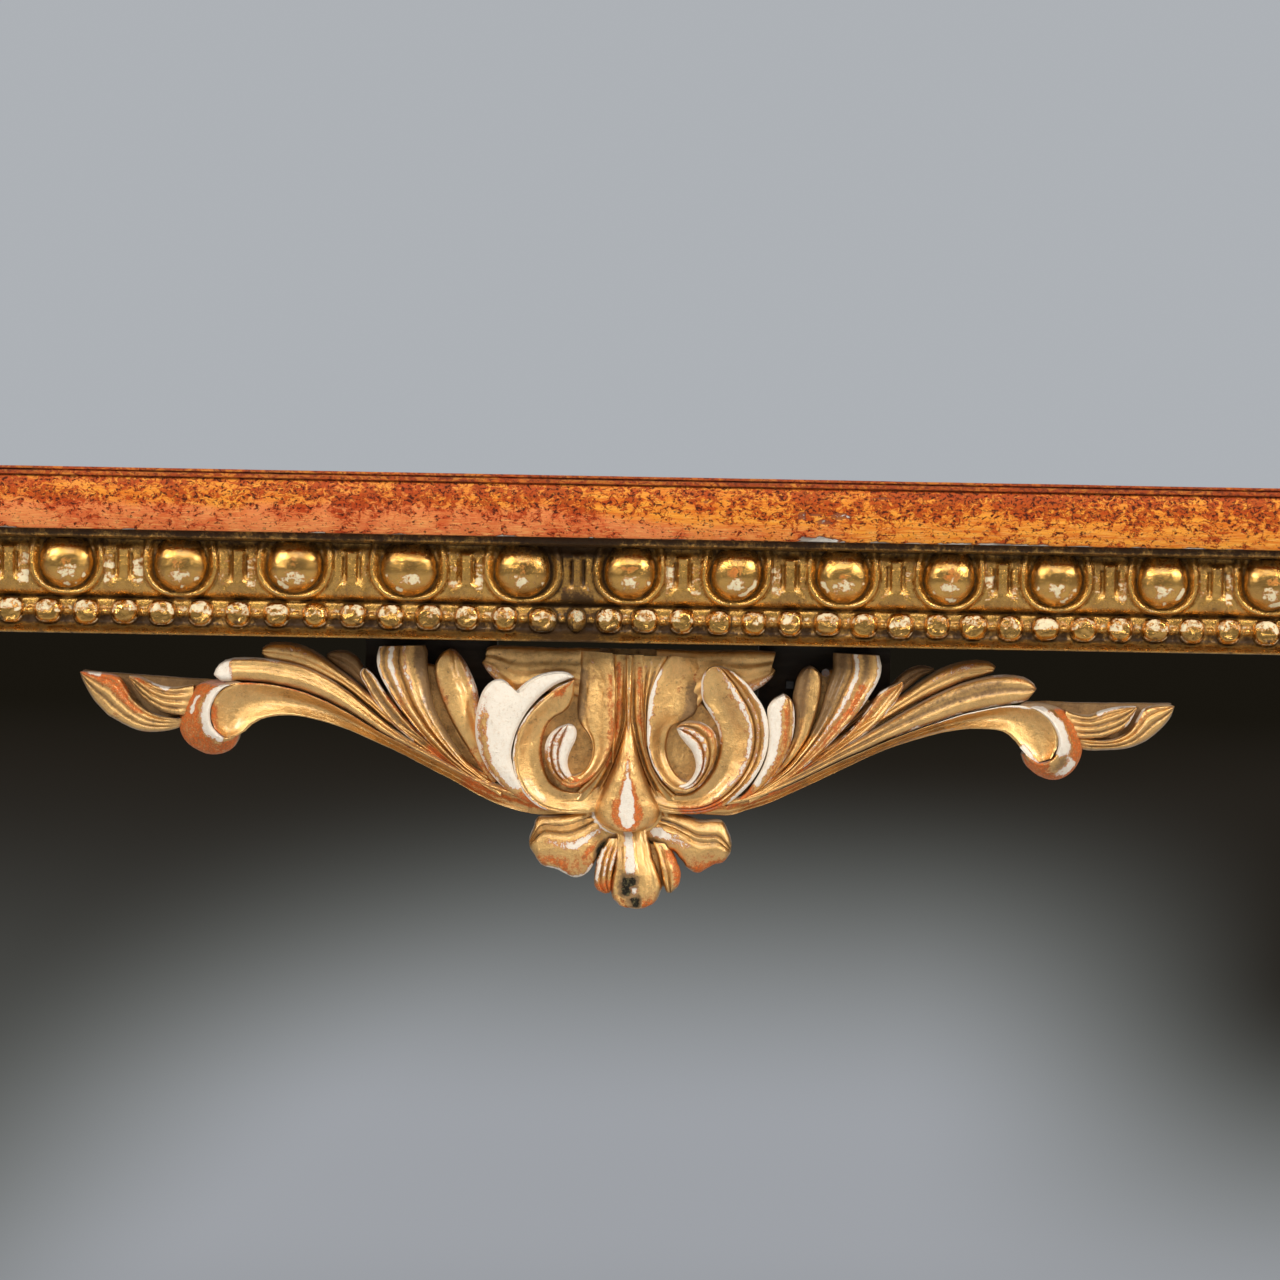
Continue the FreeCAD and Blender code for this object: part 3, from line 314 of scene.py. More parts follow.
class Finish:
    """One material: a Principled shader and the nodes that feed it."""

    def __init__(self, name):
        self.material = bpy.data.materials.new(name)
        self.material.use_nodes = True
        self.tree = self.material.node_tree
        self.tree.nodes.clear()
        self.output = self.tree.nodes.new("ShaderNodeOutputMaterial")

    def node(self, kind, settings=None, values=None, out=0):
        """A node of a kind: settings first, then the values or links of its sockets."""
        made = self.tree.nodes.new("ShaderNode" + kind)
        for key, setting in (settings or {}).items():
            setattr(made, key, setting)
        for key, value in (values or {}).items():
            socket = made.inputs[key]
            if isinstance(value, Wire):
                self.tree.links.new(value.socket, socket)
            elif hasattr(socket.default_value, "__len__") and len(socket.default_value) == 4:
                socket.default_value = (*value[:3], 1.0)
            else:
                socket.default_value = value
        return Wire(self, made.outputs[out])

    def place(self):
        """Object coordinates, in metres."""
        return self.node("TexCoord", out="Object")

    def run(self):
        """The piece's own run map: metres along it and round it."""
        return self.node("UVMap", {"uv_map": "run"})

    def part(self, vector, axis):
        """One of a vector's three numbers."""
        return self.node("SeparateXYZ", None, {0: vector}, out=axis)

    def upward(self):
        """How far the surface faces up: 1 level, 0 upright, -1 face down."""
        return self.part(self.node("NewGeometry", out="Normal"), 2)

    def stretched(self, vector, scale):
        """Coordinates multiplied by a scale along each axis."""
        return self.node("Mapping", None, {"Vector": vector, "Scale": scale})

    def noise(self, vector, size, detail=3.0, roughness=0.55, bend=0.0):
        """Fractal noise about 0.5, with features of a size in metres."""
        return self.node("TexNoise", None, {
            "Vector": vector, "Scale": 1.0 / size, "Detail": detail, "Roughness": roughness,
            "Distortion": bend})

    def wear(self):
        """The four wear numbers: hollow, high, chipped and rubbed."""
        made = self.tree.nodes.new("ShaderNodeAttribute")
        made.attribute_name = "wear"
        split = self.tree.nodes.new("ShaderNodeSeparateColor")
        self.tree.links.new(made.outputs["Color"], split.inputs[0])
        return [Wire(self, socket) for socket in (*split.outputs, made.outputs["Alpha"])]

    def mix(self, share, first, second):
        """A colour between two."""
        return self.node("Mix", {"data_type": "RGBA"}, {0: share, 6: first, 7: second}, out=2)

    def bump(self, height, depth, strength):
        """A normal tilted by a height, whose full rise is a depth in metres."""
        return self.node("Bump", None, {"Height": height, "Distance": depth, "Strength": strength})

    def close(self, values):
        """Set the Principled shader and join it to the output."""
        shader = self.node("BsdfPrincipled", None, values)
        self.tree.links.new(shader.socket, self.output.inputs["Surface"])
        return self.material


def shaded(colour, share):
    """A colour times a share, or times one share each for red, green and blue."""
    return tuple(np.multiply(tuple(colour), share))


# Finishes

SETTLED_DUST = (0.27, 0.245, 0.225)
DARK_FLECK = (0.035, 0.018, 0.009)
PIT_COLOURS = ((0.016, 0.012, 0.006), (0.11, 0.085, 0.035))
SOILED_GESSO = (0.9, 0.72, 0.55)


def gilding(name, leaf, shade, bole, gesso, hollow_colour, patina=0.5, grime_and_shade=0.6, dusting=0.5,
            wear_share=0.5, matt=0.26):
    """Gold leaf over bole over gesso, worn on the heights, dark in the hollows with dirt and
    painted shade, and flecked with painted glints.

    patina darkens the leaf in clouds, grime_and_shade fills the hollows with dirt and painted
    shade, dusting greys what faces up, and wear_share bares the bole on the heights; matt is the
    roughness of clean leaf. Each layer shows where its wear number plus noise about nought passes a
    half."""
    f = Finish(name)
    place = f.place()
    hollow, high, chipped, rubbed = f.wear()
    broad = f.noise(place, 0.020, 4.0, 0.6)
    medium = f.noise(place, 0.0052, 5.0, 0.68, 0.5)
    fine = f.noise(place, 0.0013, 4.0, 0.72)
    grit = f.noise(place, 0.00045, 2.0, 0.6)
    ragged = (medium - 0.5) * 1.3 + (fine - 0.5) * 2.2 + (grit - 0.5) * 0.8
    # leaf: tarnish in clouds, with painted shade in the hollows; painted glints, brighter specks of
    # leaf standing in for highlights
    cloud = (broad - 0.5) * 2.0 + (medium - 0.5) * 1.6 + (fine - 0.5) * 1.6
    tarnish_and_shade = (cloud * patina + hollow * 0.55 + patina * 0.62).low(1.0).top(0.0)
    colour = f.mix(tarnish_and_shade, leaf, shade)
    painted_glints = (grit * 0.6 + fine * 0.6).rise(0.60, 0.76) * (1.0 - hollow)
    colour = f.mix(painted_glints * 0.42, colour, tuple(min(1.0, 1.2 * c + 0.07) for c in leaf))
    # bole where the leaf is rubbed away
    red = rubbed.top(chipped * 1.25).top(high * wear_share) + ragged * 0.75
    red = (red - 0.5).rise(-0.06, 0.16)
    red = red * (1.0 - (fine * 0.7 + grit * 0.5).rise(0.62, 0.70) * 0.55)
    colour = f.mix(red * 0.93, colour, f.mix(fine.rise(0.38, 0.62), bole, shaded(bole, 0.58)))
    # gesso where the bole is chipped off
    bare = (chipped + ragged * 0.55 - 0.5).rise(-0.03, 0.10)
    stained = f.mix(fine.rise(0.45, 0.75) * 0.45, gesso, shaded(gesso, SOILED_GESSO))
    colour = f.mix(bare, colour, stained)
    # grime and painted shade in the hollows, dust on what faces up, dark flecks and pits
    soil = (hollow * 1.25 + ragged * 0.5 - 0.42).rise(0.0, 0.55) * grime_and_shade
    colour = f.mix(soil, colour, hollow_colour)
    settled = (f.upward().rise(0.62, 0.98) + ragged * 0.35 - 0.1).rise(0.1, 0.6) * dusting
    colour = f.mix(settled, colour, SETTLED_DUST)
    flecks = (grit * 0.5 + fine * 0.35 + medium * 0.35).rise(0.675, 0.735) * (1.0 - bare * 0.7)
    colour = f.mix(flecks * 0.6, colour, DARK_FLECK)
    pit = (hollow + ragged * 0.55).rise(1.35, 1.6)
    colour = f.mix(pit, colour, f.mix(fine.rise(0.52, 0.6), *PIT_COLOURS))
    dull = red.top(bare).top(soil).top(settled).top(pit)
    relief = (medium * 0.42 + fine * 0.36 + grit * 0.14) * (1.0 - high * 0.8)
    return f.close({
        "Base Color": colour,
        "Metallic": 1.0 - dull * 0.95,
        "Roughness": matt + dull * 0.34 + tarnish_and_shade * 0.16 + fine * 0.12 - high * 0.12,
        "Coat Weight": (1.0 - dull) * 0.45,
        "Coat Roughness": 0.2,
        "Normal": f.bump(relief - bare * 0.22 - red * 0.06, 0.0010, 0.85),
        "Specular IOR Level": 0.22,
    })


AMBERS = ((0.65, 0.150, 0.012), (0.84, 0.320, 0.034))
SALMONS = ((0.73, 0.205, 0.070), (0.56, 0.066, 0.022))
REDS = ((0.42, 0.046, 0.006), (0.19, 0.018, 0.003))
PAINT_PIT = (0.060, 0.010, 0.003)
PAINT_STREAK = (0.93, 0.52, 0.15)
PAINT_RUBBED = (0.26, 0.050, 0.018)
PAINT_BROKEN = (0.20, 0.055, 0.022)
PAINT_GROUND = ((0.80, 0.74, 0.64), (0.36, 0.30, 0.24))
PAINT_SHADOW = (0.03, 0.010, 0.006)
RAW_BOARD = ((0.34, 0.21, 0.10), (0.17, 0.09, 0.035))


def faux_paint(name, from_run):
    """Amber paint mottled with red and brown, salmon low down and to the left, brush-streaked.

    From the run map it also shows chips, rubbed arrises and painted shadow lines; else, raw board
    below."""
    f = Finish(name)
    place = f.run() if from_run else f.place()
    streak = f.noise(f.stretched(place, (1.0, 10.0, 1.0)), 0.020, 5.0, 0.7)
    hair = f.noise(f.stretched(place, (1.0, 24.0, 1.0)), 0.007, 3.0, 0.6)
    cloud = f.noise(place, 0.050, 3.0, 0.6, 0.3)
    patch = f.noise(place, 0.013, 5.0, 0.66, 0.6)
    mottle = f.noise(f.stretched(place, (1.0, 1.4, 1.0)), 0.0036, 5.0, 0.76, 0.9)
    speck = f.noise(f.stretched(place, (1.0, 1.3, 1.0)), 0.0016, 3.0, 0.65, 0.5)
    amber = f.mix(streak.rise(0.36, 0.64), *AMBERS)
    if from_run:
        leftward = (0.035 - f.part(place, 0)).rise(-0.12, 0.12)
        lowly = (0.0125 - f.part(place, 1)).rise(-0.004, 0.0085)
    else:
        leftward = cloud.rise(0.45, 0.7) * 0.6
        lowly = patch.rise(0.4, 0.7) * 0.7
    pink = leftward * 0.55 + lowly * 0.42 + leftward * lowly * 0.45 + (cloud - 0.5) * 1.3 - 0.52
    salmon = f.mix(patch.rise(0.38, 0.66), *SALMONS)
    colour = f.mix(pink.rise(0.0, 0.45) * 0.8, amber, salmon)
    red = mottle * 1.9 + patch * 0.9 + cloud * 0.4 - lowly * 0.24 - leftward * 0.06 - 1.42
    red = red.rise(0.0, 0.15)
    colour = f.mix(red * 0.86, colour, f.mix(speck.rise(0.4, 0.62), *REDS))
    pits = (speck * 1.25 + mottle * 1.0 - lowly * 0.05 - leftward * 0.02 - 1.14).rise(0.03, 0.14)
    colour = f.mix(pits.low(0.93), colour, PAINT_PIT)
    pale = (hair.rise(0.50, 0.70) * (1.0 - red)) * (0.36 + lowly * 0.36)
    colour = f.mix(pale, colour, PAINT_STREAK)
    relief = mottle * 0.5 + speck * 0.35 + hair * 0.3 - pits * 0.4
    if from_run:
        hollow, _, chipped, rubbed = f.wear()
        colour = f.mix(rubbed * 0.62, colour, PAINT_RUBBED)
        broken = (chipped * 1.5 + mottle * 0.6 + speck * 0.4 - 0.80).rise(0.0, 0.2)
        colour = f.mix(broken * 0.8, colour, PAINT_BROKEN)
        bare = (chipped + (mottle - 0.5) * 1.1 + (speck - 0.5) * 0.7 - 0.55).rise(0.0, 0.1)
        colour = f.mix(bare, colour, f.mix(patch.rise(0.4, 0.62), *PAINT_GROUND))
        colour = f.mix((hollow * 1.2).low(0.9), colour, PAINT_SHADOW)
        relief = relief - bare * 0.8
    else:
        grain = f.noise(f.stretched(place, (1.0, 12.0, 1.0)), 0.05, 5.0, 0.65, 1.0)
        raw = f.mix(grain.rise(0.35, 0.65), *RAW_BOARD)
        colour = f.mix(f.upward().rise(0.0, -0.3), colour, raw)
    return f.close({
        "Base Color": colour,
        "Roughness": 0.36 + mottle * 0.16 + pits * 0.2,
        "Normal": f.bump(relief, 0.0003, 0.5),
        "Specular IOR Level": 0.12,
    })


def timber(name, pale, dark, grain=(1.0, 9.0, 9.0), ring=0.011, roughness=0.62):
    """Bare planed wood: stretched growth lines, fine pores and broad soiled patches."""
    f = Finish(name)
    place = f.place()
    lines = f.noise(f.stretched(place, grain), ring * 6, 5.0, 0.62, 1.2)
    pores = f.noise(f.stretched(place, shaded(grain, 3.5)), 0.012, 3.0, 0.7)
    soil = f.noise(place, 0.11, 4.0, 0.6)
    colour = f.mix(lines.rise(0.38, 0.62), pale, dark)
    colour = f.mix(soil.rise(0.45, 0.8) * 0.45, colour, shaded(dark, 0.45))
    colour = f.mix(pores.rise(0.6, 0.75) * 0.4, colour, shaded(dark, 0.5))
    return f.close({
        "Base Color": colour,
        "Roughness": roughness + lines * 0.15,
        "Normal": f.bump(lines * 0.5 + pores * 0.5, 0.0004, 0.5),
    })


def old_iron(name):
    """Hand-forged iron with brown rust over dark scale."""
    f = Finish(name)
    place = f.place()
    rust = f.noise(place, 0.0022, 5.0, 0.7, 0.6)
    scale = f.noise(place, 0.0007, 3.0, 0.6)
    mask = (rust * 0.8 + scale * 0.4).rise(0.52, 0.75)
    return f.close({
        "Base Color": f.mix(mask, (0.14, 0.13, 0.125), (0.17, 0.075, 0.035)),
        "Metallic": 0.75 - mask * 0.6,
        "Roughness": 0.42 + mask * 0.35,
        "Normal": f.bump(rust * 0.6 + scale * 0.4, 0.0003, 0.7),
    })


def dress(node, material):
    """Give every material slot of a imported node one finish."""
    mesh = NODES[node].data
    if not mesh.materials:
        mesh.materials.append(material)
    for index in range(len(mesh.materials)):
        mesh.materials[index] = material


# Sizes and colours that a user would change

def length_prop(name, text, size):
    return FloatProperty(
        name=name, description=text, default=size, min=0.0, unit="LENGTH", subtype="DISTANCE")


def colour_prop(name, text, colour):
    return FloatVectorProperty(
        name=name, description=text, default=colour, size=3, min=0.0, max=1.0, subtype="COLOR")


class TopSettings(bpy.types.PropertyGroup):
    """The painted edge moulding."""

    edge_wide: length_prop("Edge width", "Width of the edge moulding", 0.040)
    chip_deep: length_prop("Chip depth", "Depth of the chips along the lower arris", 0.0012)


class FriezeSettings(bpy.types.PropertyGroup):
    """The egg and dart moulding."""

    egg_pitch_left: length_prop(
        "Egg pitch, left", "Distance between eggs left of the seam", 0.04805)
    egg_pitch_right: length_prop(
        "Egg pitch, right", "Distance between eggs right of the seam", 0.0449)
    egg_pitch_side: length_prop("Egg pitch, ends", "Distance between eggs along the ends", 0.046)
    seam_place: length_prop("Seam", "Distance of the seam left of the middle", 0.0232)


class StageSettings(bpy.types.PropertyGroup):
    """Floor, lamps and camera."""

    floor_colour: colour_prop("Floor", "Colour of the floor near the table", (0.72, 0.73, 0.74))
    wall_colour: colour_prop(
        "Surroundings", "Colour seen above the floor", (0.420, 0.442, 0.470))
    fill_light: FloatProperty(
        name="Fill light", description="Share of the surroundings' light that falls on the table",
        default=0.42, min=0.0, max=1.0, subtype="FACTOR")
    picture_wide: length_prop("Picture width", "Width that the camera takes in", 0.5376)
    camera_far: length_prop("Camera distance", "Distance from the camera to the frieze", 2.6)
    camera_tall: length_prop("Camera height", "Height of the camera", 0.835)
    camera_roll: FloatProperty(
        name="Camera roll", description="Turn of the camera about its line of sight",
        default=math.radians(1.05), unit="ROTATION", subtype="ANGLE")


# Top

# The edge moulding's face from its arris up: how far in from the front, and how high
EDGE_FACE = (
    (4.1, 0.0), (3.45, 0.15), (3.1, 0.7), (2.2, 2.6), (1.15, 5.4), (0.45, 8.4), (0.1, 11.4),
    (0.0, 14.0), (0.2, 16.8), (0.75, 19.4), (1.45, 21.4), (1.75, 22.1), (1.6, 22.35), (0.35, 22.5),
    (0.15, 22.8), (0.12, 24.0), (0.25, 24.2), (0.95, 24.3), (0.95, 24.75), (0.2, 24.9),
    (0.02, 25.2), (0.1, 25.7), (0.5, 26.0),
)
EDGE_TALL = 26.0
TOP_HALF_WIDE = 700.0
TOP_HALF_DEEP = 240.0

# Worn patches on the front, east of the middle and up from the arris, with half sizes
EDGE_CHIPS = (
    (79.0, 0.4, 8.5, 2.6), (104.0, 0.3, 4.0, 0.9), (121.0, 0.3, 6.0, 0.7), (137.0, 0.3, 7.0, 0.9),
    (153.0, 0.4, 9.0, 1.1), (170.0, 0.3, 7.0, 0.9), (187.0, 0.3, 5.0, 0.6), (-51.0, 0.3, 4.0, 0.7),
    (-16.0, 0.4, 1.2, 0.7), (236.0, 0.3, 6.0, 0.8), (-131.0, 0.3, 3.0, 0.6),
    (-210.0, 0.3, 4.0, 0.6), (20.0, 0.3, 3.0, 0.5), (-96.0, 0.3, 3.0, 0.5), (212.0, 0.3, 3.0, 0.5),
)
EDGE_SCARS = (
    (72.0, 12.0, 1.6, 1.6), (78.0, 12.6, 2.4, 0.7), (80.0, 9.4, 3.0, 0.9), (87.0, 12.0, 4.0, 1.2),
    (105.0, 20.0, 4.0, 0.7), (31.0, 17.0, 1.0, 0.7), (-268.0, 11.0, 1.6, 2.0),
)


def edge_run(length, count, mitres, wide):
    """A run of the moulding: place along it, depth in, height and distance round its section.

    The section goes up the traced face, back along the top, down and forward below. A mitred end
    draws each point in by its own depth."""
    profile = np.vstack([
        smooth_line(EDGE_FACE, 74),
        np.linspace((0.9, EDGE_TALL), (wide, EDGE_TALL), 26),
        np.linspace((wide, 0.0), (4.6, 0.0), 12)])
    inward, up = profile.T
    start, end = inward * mitres[0], length - inward * mitres[1]
    along = start + (end - start) * np.linspace(0.0, 1.0, count)[:, None]
    return np.broadcast_arrays(along, inward, up, distance_along(profile))


def patch_mask(x, y, spots, seed):
    """1 inside ragged ovals about the spots, 0 outside."""
    ragged = roughcast(x, y, 3.0, seed) * 0.55 + roughcast(x, y, 1.1, seed + 5.0) * 0.3
    mask = np.zeros(np.broadcast(x, y).shape)
    for east, up, wide, tall in spots:
        reach = np.hypot((x - east) / wide, (y - up) / tall)
        mask = np.maximum(mask, step(1.25, 0.85, reach + ragged))
    return mask


def painted_edge(name, node, side, count, mitres, material):
    """One painted run: the profile with its waves, chips and scars, laid along a side of the top.

    The face sinks by small value noise, and by the chip depth in ragged ovals along the arris.
    Beyond the picture the ovals come at even steps, some left out by chance."""
    settings = bpy.context.scene.table_top
    half, line = TOP_HALF_WIDE, TOP_HALF_DEEP
    if side != "front":
        half, line = line, half
    s, inward, up, around = edge_run(2 * half, count, mitres, settings.edge_wide / MM)
    x = s - half
    face = (inward < 12.0) * 1.0
    chips = [
        (east, 0.2, 2.0 + 7.0 * chance(k, 1.0), 0.35 + 0.5 * chance(k, 2.0))
        for k, east in enumerate(np.arange(20.0 - half, half - 20.0, 37.0) + 9.0)
        if chance(k, 3.0) > 0.45 and abs(east) > 250.0]
    scars = ()
    if side == "front":
        chips, scars = [*EDGE_CHIPS, *chips], EDGE_SCARS
    chips = patch_mask(x, around, chips, 9.0) * face
    scars = patch_mask(x, around, scars, 19.0) * face
    nicks = step(0.55, 0.9, roughcast(x, up, 3.2, 31.0)) * step(3.0, 0.5, up) * face
    wave = roughcast(x, up, 26.0, 3.0) * 0.22 + roughcast(x, up, 5.0, 4.0) * 0.06
    sink = wave + chips * settings.chip_deep / MM * 0.8 + scars * 0.35 + nicks * 0.5
    inward = inward + sink * face
    sag = np.abs(roughcast(x, inward, 30.0, 8.0)) * 0.12
    up = up - np.where(up > EDGE_TALL - 0.1, sag, 0.0)
    # Two painted shadow lines under the lip's steps, carried in the hollow number
    lines = bell(up - 24.5, 0.45) + 0.8 * bell(up - 22.2, 0.4)
    ragged = roughcast(x, up, 14.0, 41.0)
    wear = np.stack([
        unit(lines * (inward < 3.0) * (0.5 + 0.5 * ragged)), np.zeros(x.shape),
        unit(chips + scars * 0.50 + nicks * 0.7),
        step(21.6, 22.6, up) * face * (0.75 + 0.4 * ragged)], axis=-1)
    surface = Surface()
    surface.tube(
        lay_on(side, line)(x, -inward, up + TOP_FOOT), wear, np.stack([x, around], axis=-1) * MM)
    surface.build(name, node, material, 40.0)


class OBJECT_OT_table_top(bpy.types.Operator):
    """Lay the painted edge mouldings and paint the boards between them"""

    bl_idname = "object.table_top"
    bl_label = "Painted top"

    def execute(self, context):
        paint = faux_paint("edge_paint", True)
        board_paint = faux_paint("board_paint", False)
        for side, count, mitres in (
                ("front", 820, (True, True)), ("left", 280, (False, True)),
                ("right", 280, (True, False))):
            painted_edge("painted_edge_" + side, "top_moulding_" + side, side, count, mitres, paint)
        for node in ("top_front_board", "top_back_board"):
            dress(node, board_paint)
        return {"FINISHED"}


# Frieze

# The moulding's face without its carving: height from the foot and depth from the rail
FRIEZE_FACE = (
    (0.0, 14.3), (0.3, 15.2), (0.8, 15.4), (1.25, 14.7), (2.2, 12.0), (3.3, 9.6), (4.4, 8.4),
    (6.0, 7.9), (14.0, 7.9), (14.7, 7.4), (15.3, 6.5), (15.8, 6.9), (16.3, 8.8), (17.2, 10.2),
    (19.0, 11.4), (23.0, 12.6), (28.0, 13.4), (33.0, 13.6), (36.5, 13.1), (38.8, 12.2),
    (39.9, 12.2), (40.2, 14.0), (40.5, 17.2), (40.8, 18.6), (41.3, 19.2), (42.0, 19.5),
    (44.0, 19.6),
)
FRIEZE_TALL = 44.0
FRIEZE_DEEP = 20.0
EGG_HEIGHT = 29.2
BEAD_HEIGHT = 9.2

# Pitch at which the eggs and cups have their traced size
EGG_PITCH = 48.0

# Height of the fillet over the eggs, which stands out over them
FILLET = 40.2

# Length over which a mitred end is drawn in
MITRE_REACH = 34.0

# Distance between columns near the eye and beyond, and how far the near part goes from the middle
FINE_COLUMN, COARSE_COLUMN, NEAR = 0.5, 0.95, 275.0

FRIEZE_ROWS = np.concatenate([
    np.linspace(0.0, 1.4, 5), np.linspace(1.4, 4.2, 6)[1:], np.linspace(4.2, 14.4, 20)[1:],
    np.linspace(14.4, 17.0, 8)[1:], np.linspace(17.0, 39.2, 38)[1:], np.linspace(39.2, 41.2, 8)[1:],
    np.linspace(41.2, FRIEZE_TALL, 4)[1:]])


def egg_band(x, z, ground, eggs, rag, seed):
    """The upper band: its depth, and what was rubbed, flaked, soiled and polished there; painted
    highlights are among the flakes and painted shade among the soil.

    Round each egg a cup sinks and then climbs to a thin lip; the egg is a half ellipsoid in it,
    drawn out upwards. Both are as wide as the pitch allows. Each dart, midway between two eggs, is
    a narrow bar between two sunk lines, with a small cap and a flared foot."""
    dx, place = nearest(x, eggs)
    grown = np.median(np.diff(eggs)) / EGG_PITCH * (1.0 + 0.05 * (chance(place, seed) - 0.5))
    lean = 0.08 * (chance(place, seed + 2.0) - 0.5)
    ez = z - EGG_HEIGHT - 0.8 * (chance(place, seed + 3.0) - 0.5)
    ex = (dx + lean * ez) / grown
    wobble = roughcast(x, z, 6.0, seed + 16.0) * 0.022
    egg = np.hypot(ex / 11.5, np.where(ez > 0, ez * 0.78, ez) / 10.9) + wobble * 0.5
    cup = np.hypot(ex / 16.0, np.where(ez > 0, ez * 0.50, ez) / 14.3) + wobble
    inside = ground - 1.4 + 3.1 * step(0.72, 0.94, cup)
    bowl = np.where(cup < 0.94, inside, ground + 1.7 * step(1.03, 0.955, cup))
    bowl = bowl - 0.5 * bell(cup - 1.045, 0.022)
    below = step(FILLET, FILLET - 0.5, z)
    depth = ground + (bowl - ground) * below
    dents = roughcast(x, z, 5.5, seed + 17.0) * 0.26 + roughcast(x, z, 2.4, seed + 22.0) * 0.08
    round_egg = np.maximum(depth, ground - 1.4 + dome(egg) * 7.0 + dents)
    depth = np.where((egg < 1.0) & (z < FILLET), round_egg, depth)

    tx, spot = nearest(x, (eggs[1:] + eggs[:-1]) / 2)
    tx = tx + 0.8 * (chance(spot, seed + 4.0) - 0.5)
    aside = np.abs(tx)
    away = step(15.3, 16.6, np.abs(dx) / grown)
    bar = step(2.5, 1.7, aside) * 1.6 + step(3.6, 2.9, aside) * step(34.2, 34.8, z) * 0.9
    bar = bar * step(23.0, 25.5, z) * step(37.4, 36.4, z)
    sunk = bell(aside - 3.3, 0.8) * step(21.0, 28.0, z) * step(35.0, 34.0, z) * 1.2
    spread = np.maximum(2.6 + (25.5 - z) * 0.62, 2.0)
    foot = np.exp(-(tx / spread) ** 4) * step(26.0, 22.0, z) * step(15.9, 17.5, z) * 1.5
    depth = depth + (bar - sunk + foot) * away
    roof = 19.3 * below + ground * (1 - below)
    depth = np.where(z < FILLET + 0.1, np.minimum(depth, roof), ground)

    streaks = roughcast(x / 4.0, z, 1.5, seed + 14.0)
    rub = np.hypot(ex / 6.2, (ez - 1.0) / 5.5) + rag * 0.5 + streaks * 0.3
    rub = step(0.95, 0.15, rub) * 0.66 * (0.55 + 0.45 * step(0.2, 0.6, chance(place, seed + 11.0)))
    crescent = bell(egg - 0.80, 0.11) * step(0.0, -3.0, ez) * 0.9
    crescent = crescent * step(
        0.0, 0.45, rag + 0.35 * np.sign(ex) * (chance(place, seed + 12.0) - 0.3))
    pale = np.hypot(ex / 7.5, (ez + 3.6) / 5.0) + roughcast(x, z, 2.0, seed + 13.0) * 0.4
    pale = step(0.95, 0.2, pale + streaks * 0.35) * 0.64
    # Pale streaky patches on the ground beside each dart: a painted highlight, carried with the
    # flakes
    patch = away * step(19.0, 22.0, z) * step(35.5, 31.0, z)
    patch = patch * step(2.6, 4.2, aside) * step(13.0, 9.0, aside) * (0.56 + 0.5 * streaks)
    one_side = chance(spot * 2.0 + (tx > 0), seed + 20.0)
    patch = patch * (0.55 + 0.45 * step(0.2, 0.6, one_side))
    # Darkening: under the top's overhang and over the egg tops a painted shadow; in the quirk and
    # round the darts' feet and sides, dirt and painted shade
    grime_and_shade = np.maximum.reduce([
        step(41.2, 42.0, z) * 0.85,
        step(33.5, 38.5, z) * step(42.0, 41.0, z) * 0.66,
        bell(z - 15.4, 1.1) * 0.75,
        away * step(24.0, 18.0, z) * step(15.0, 17.0, z) * 0.42,
        away * bell(aside - 3.3, 0.9) * step(22.0, 26.0, z) * step(36.0, 34.0, z) * 0.4])
    return depth, rub, np.maximum.reduce([crescent, pale, patch]), grime_and_shade, (egg < 1.0) * 0.8 * below


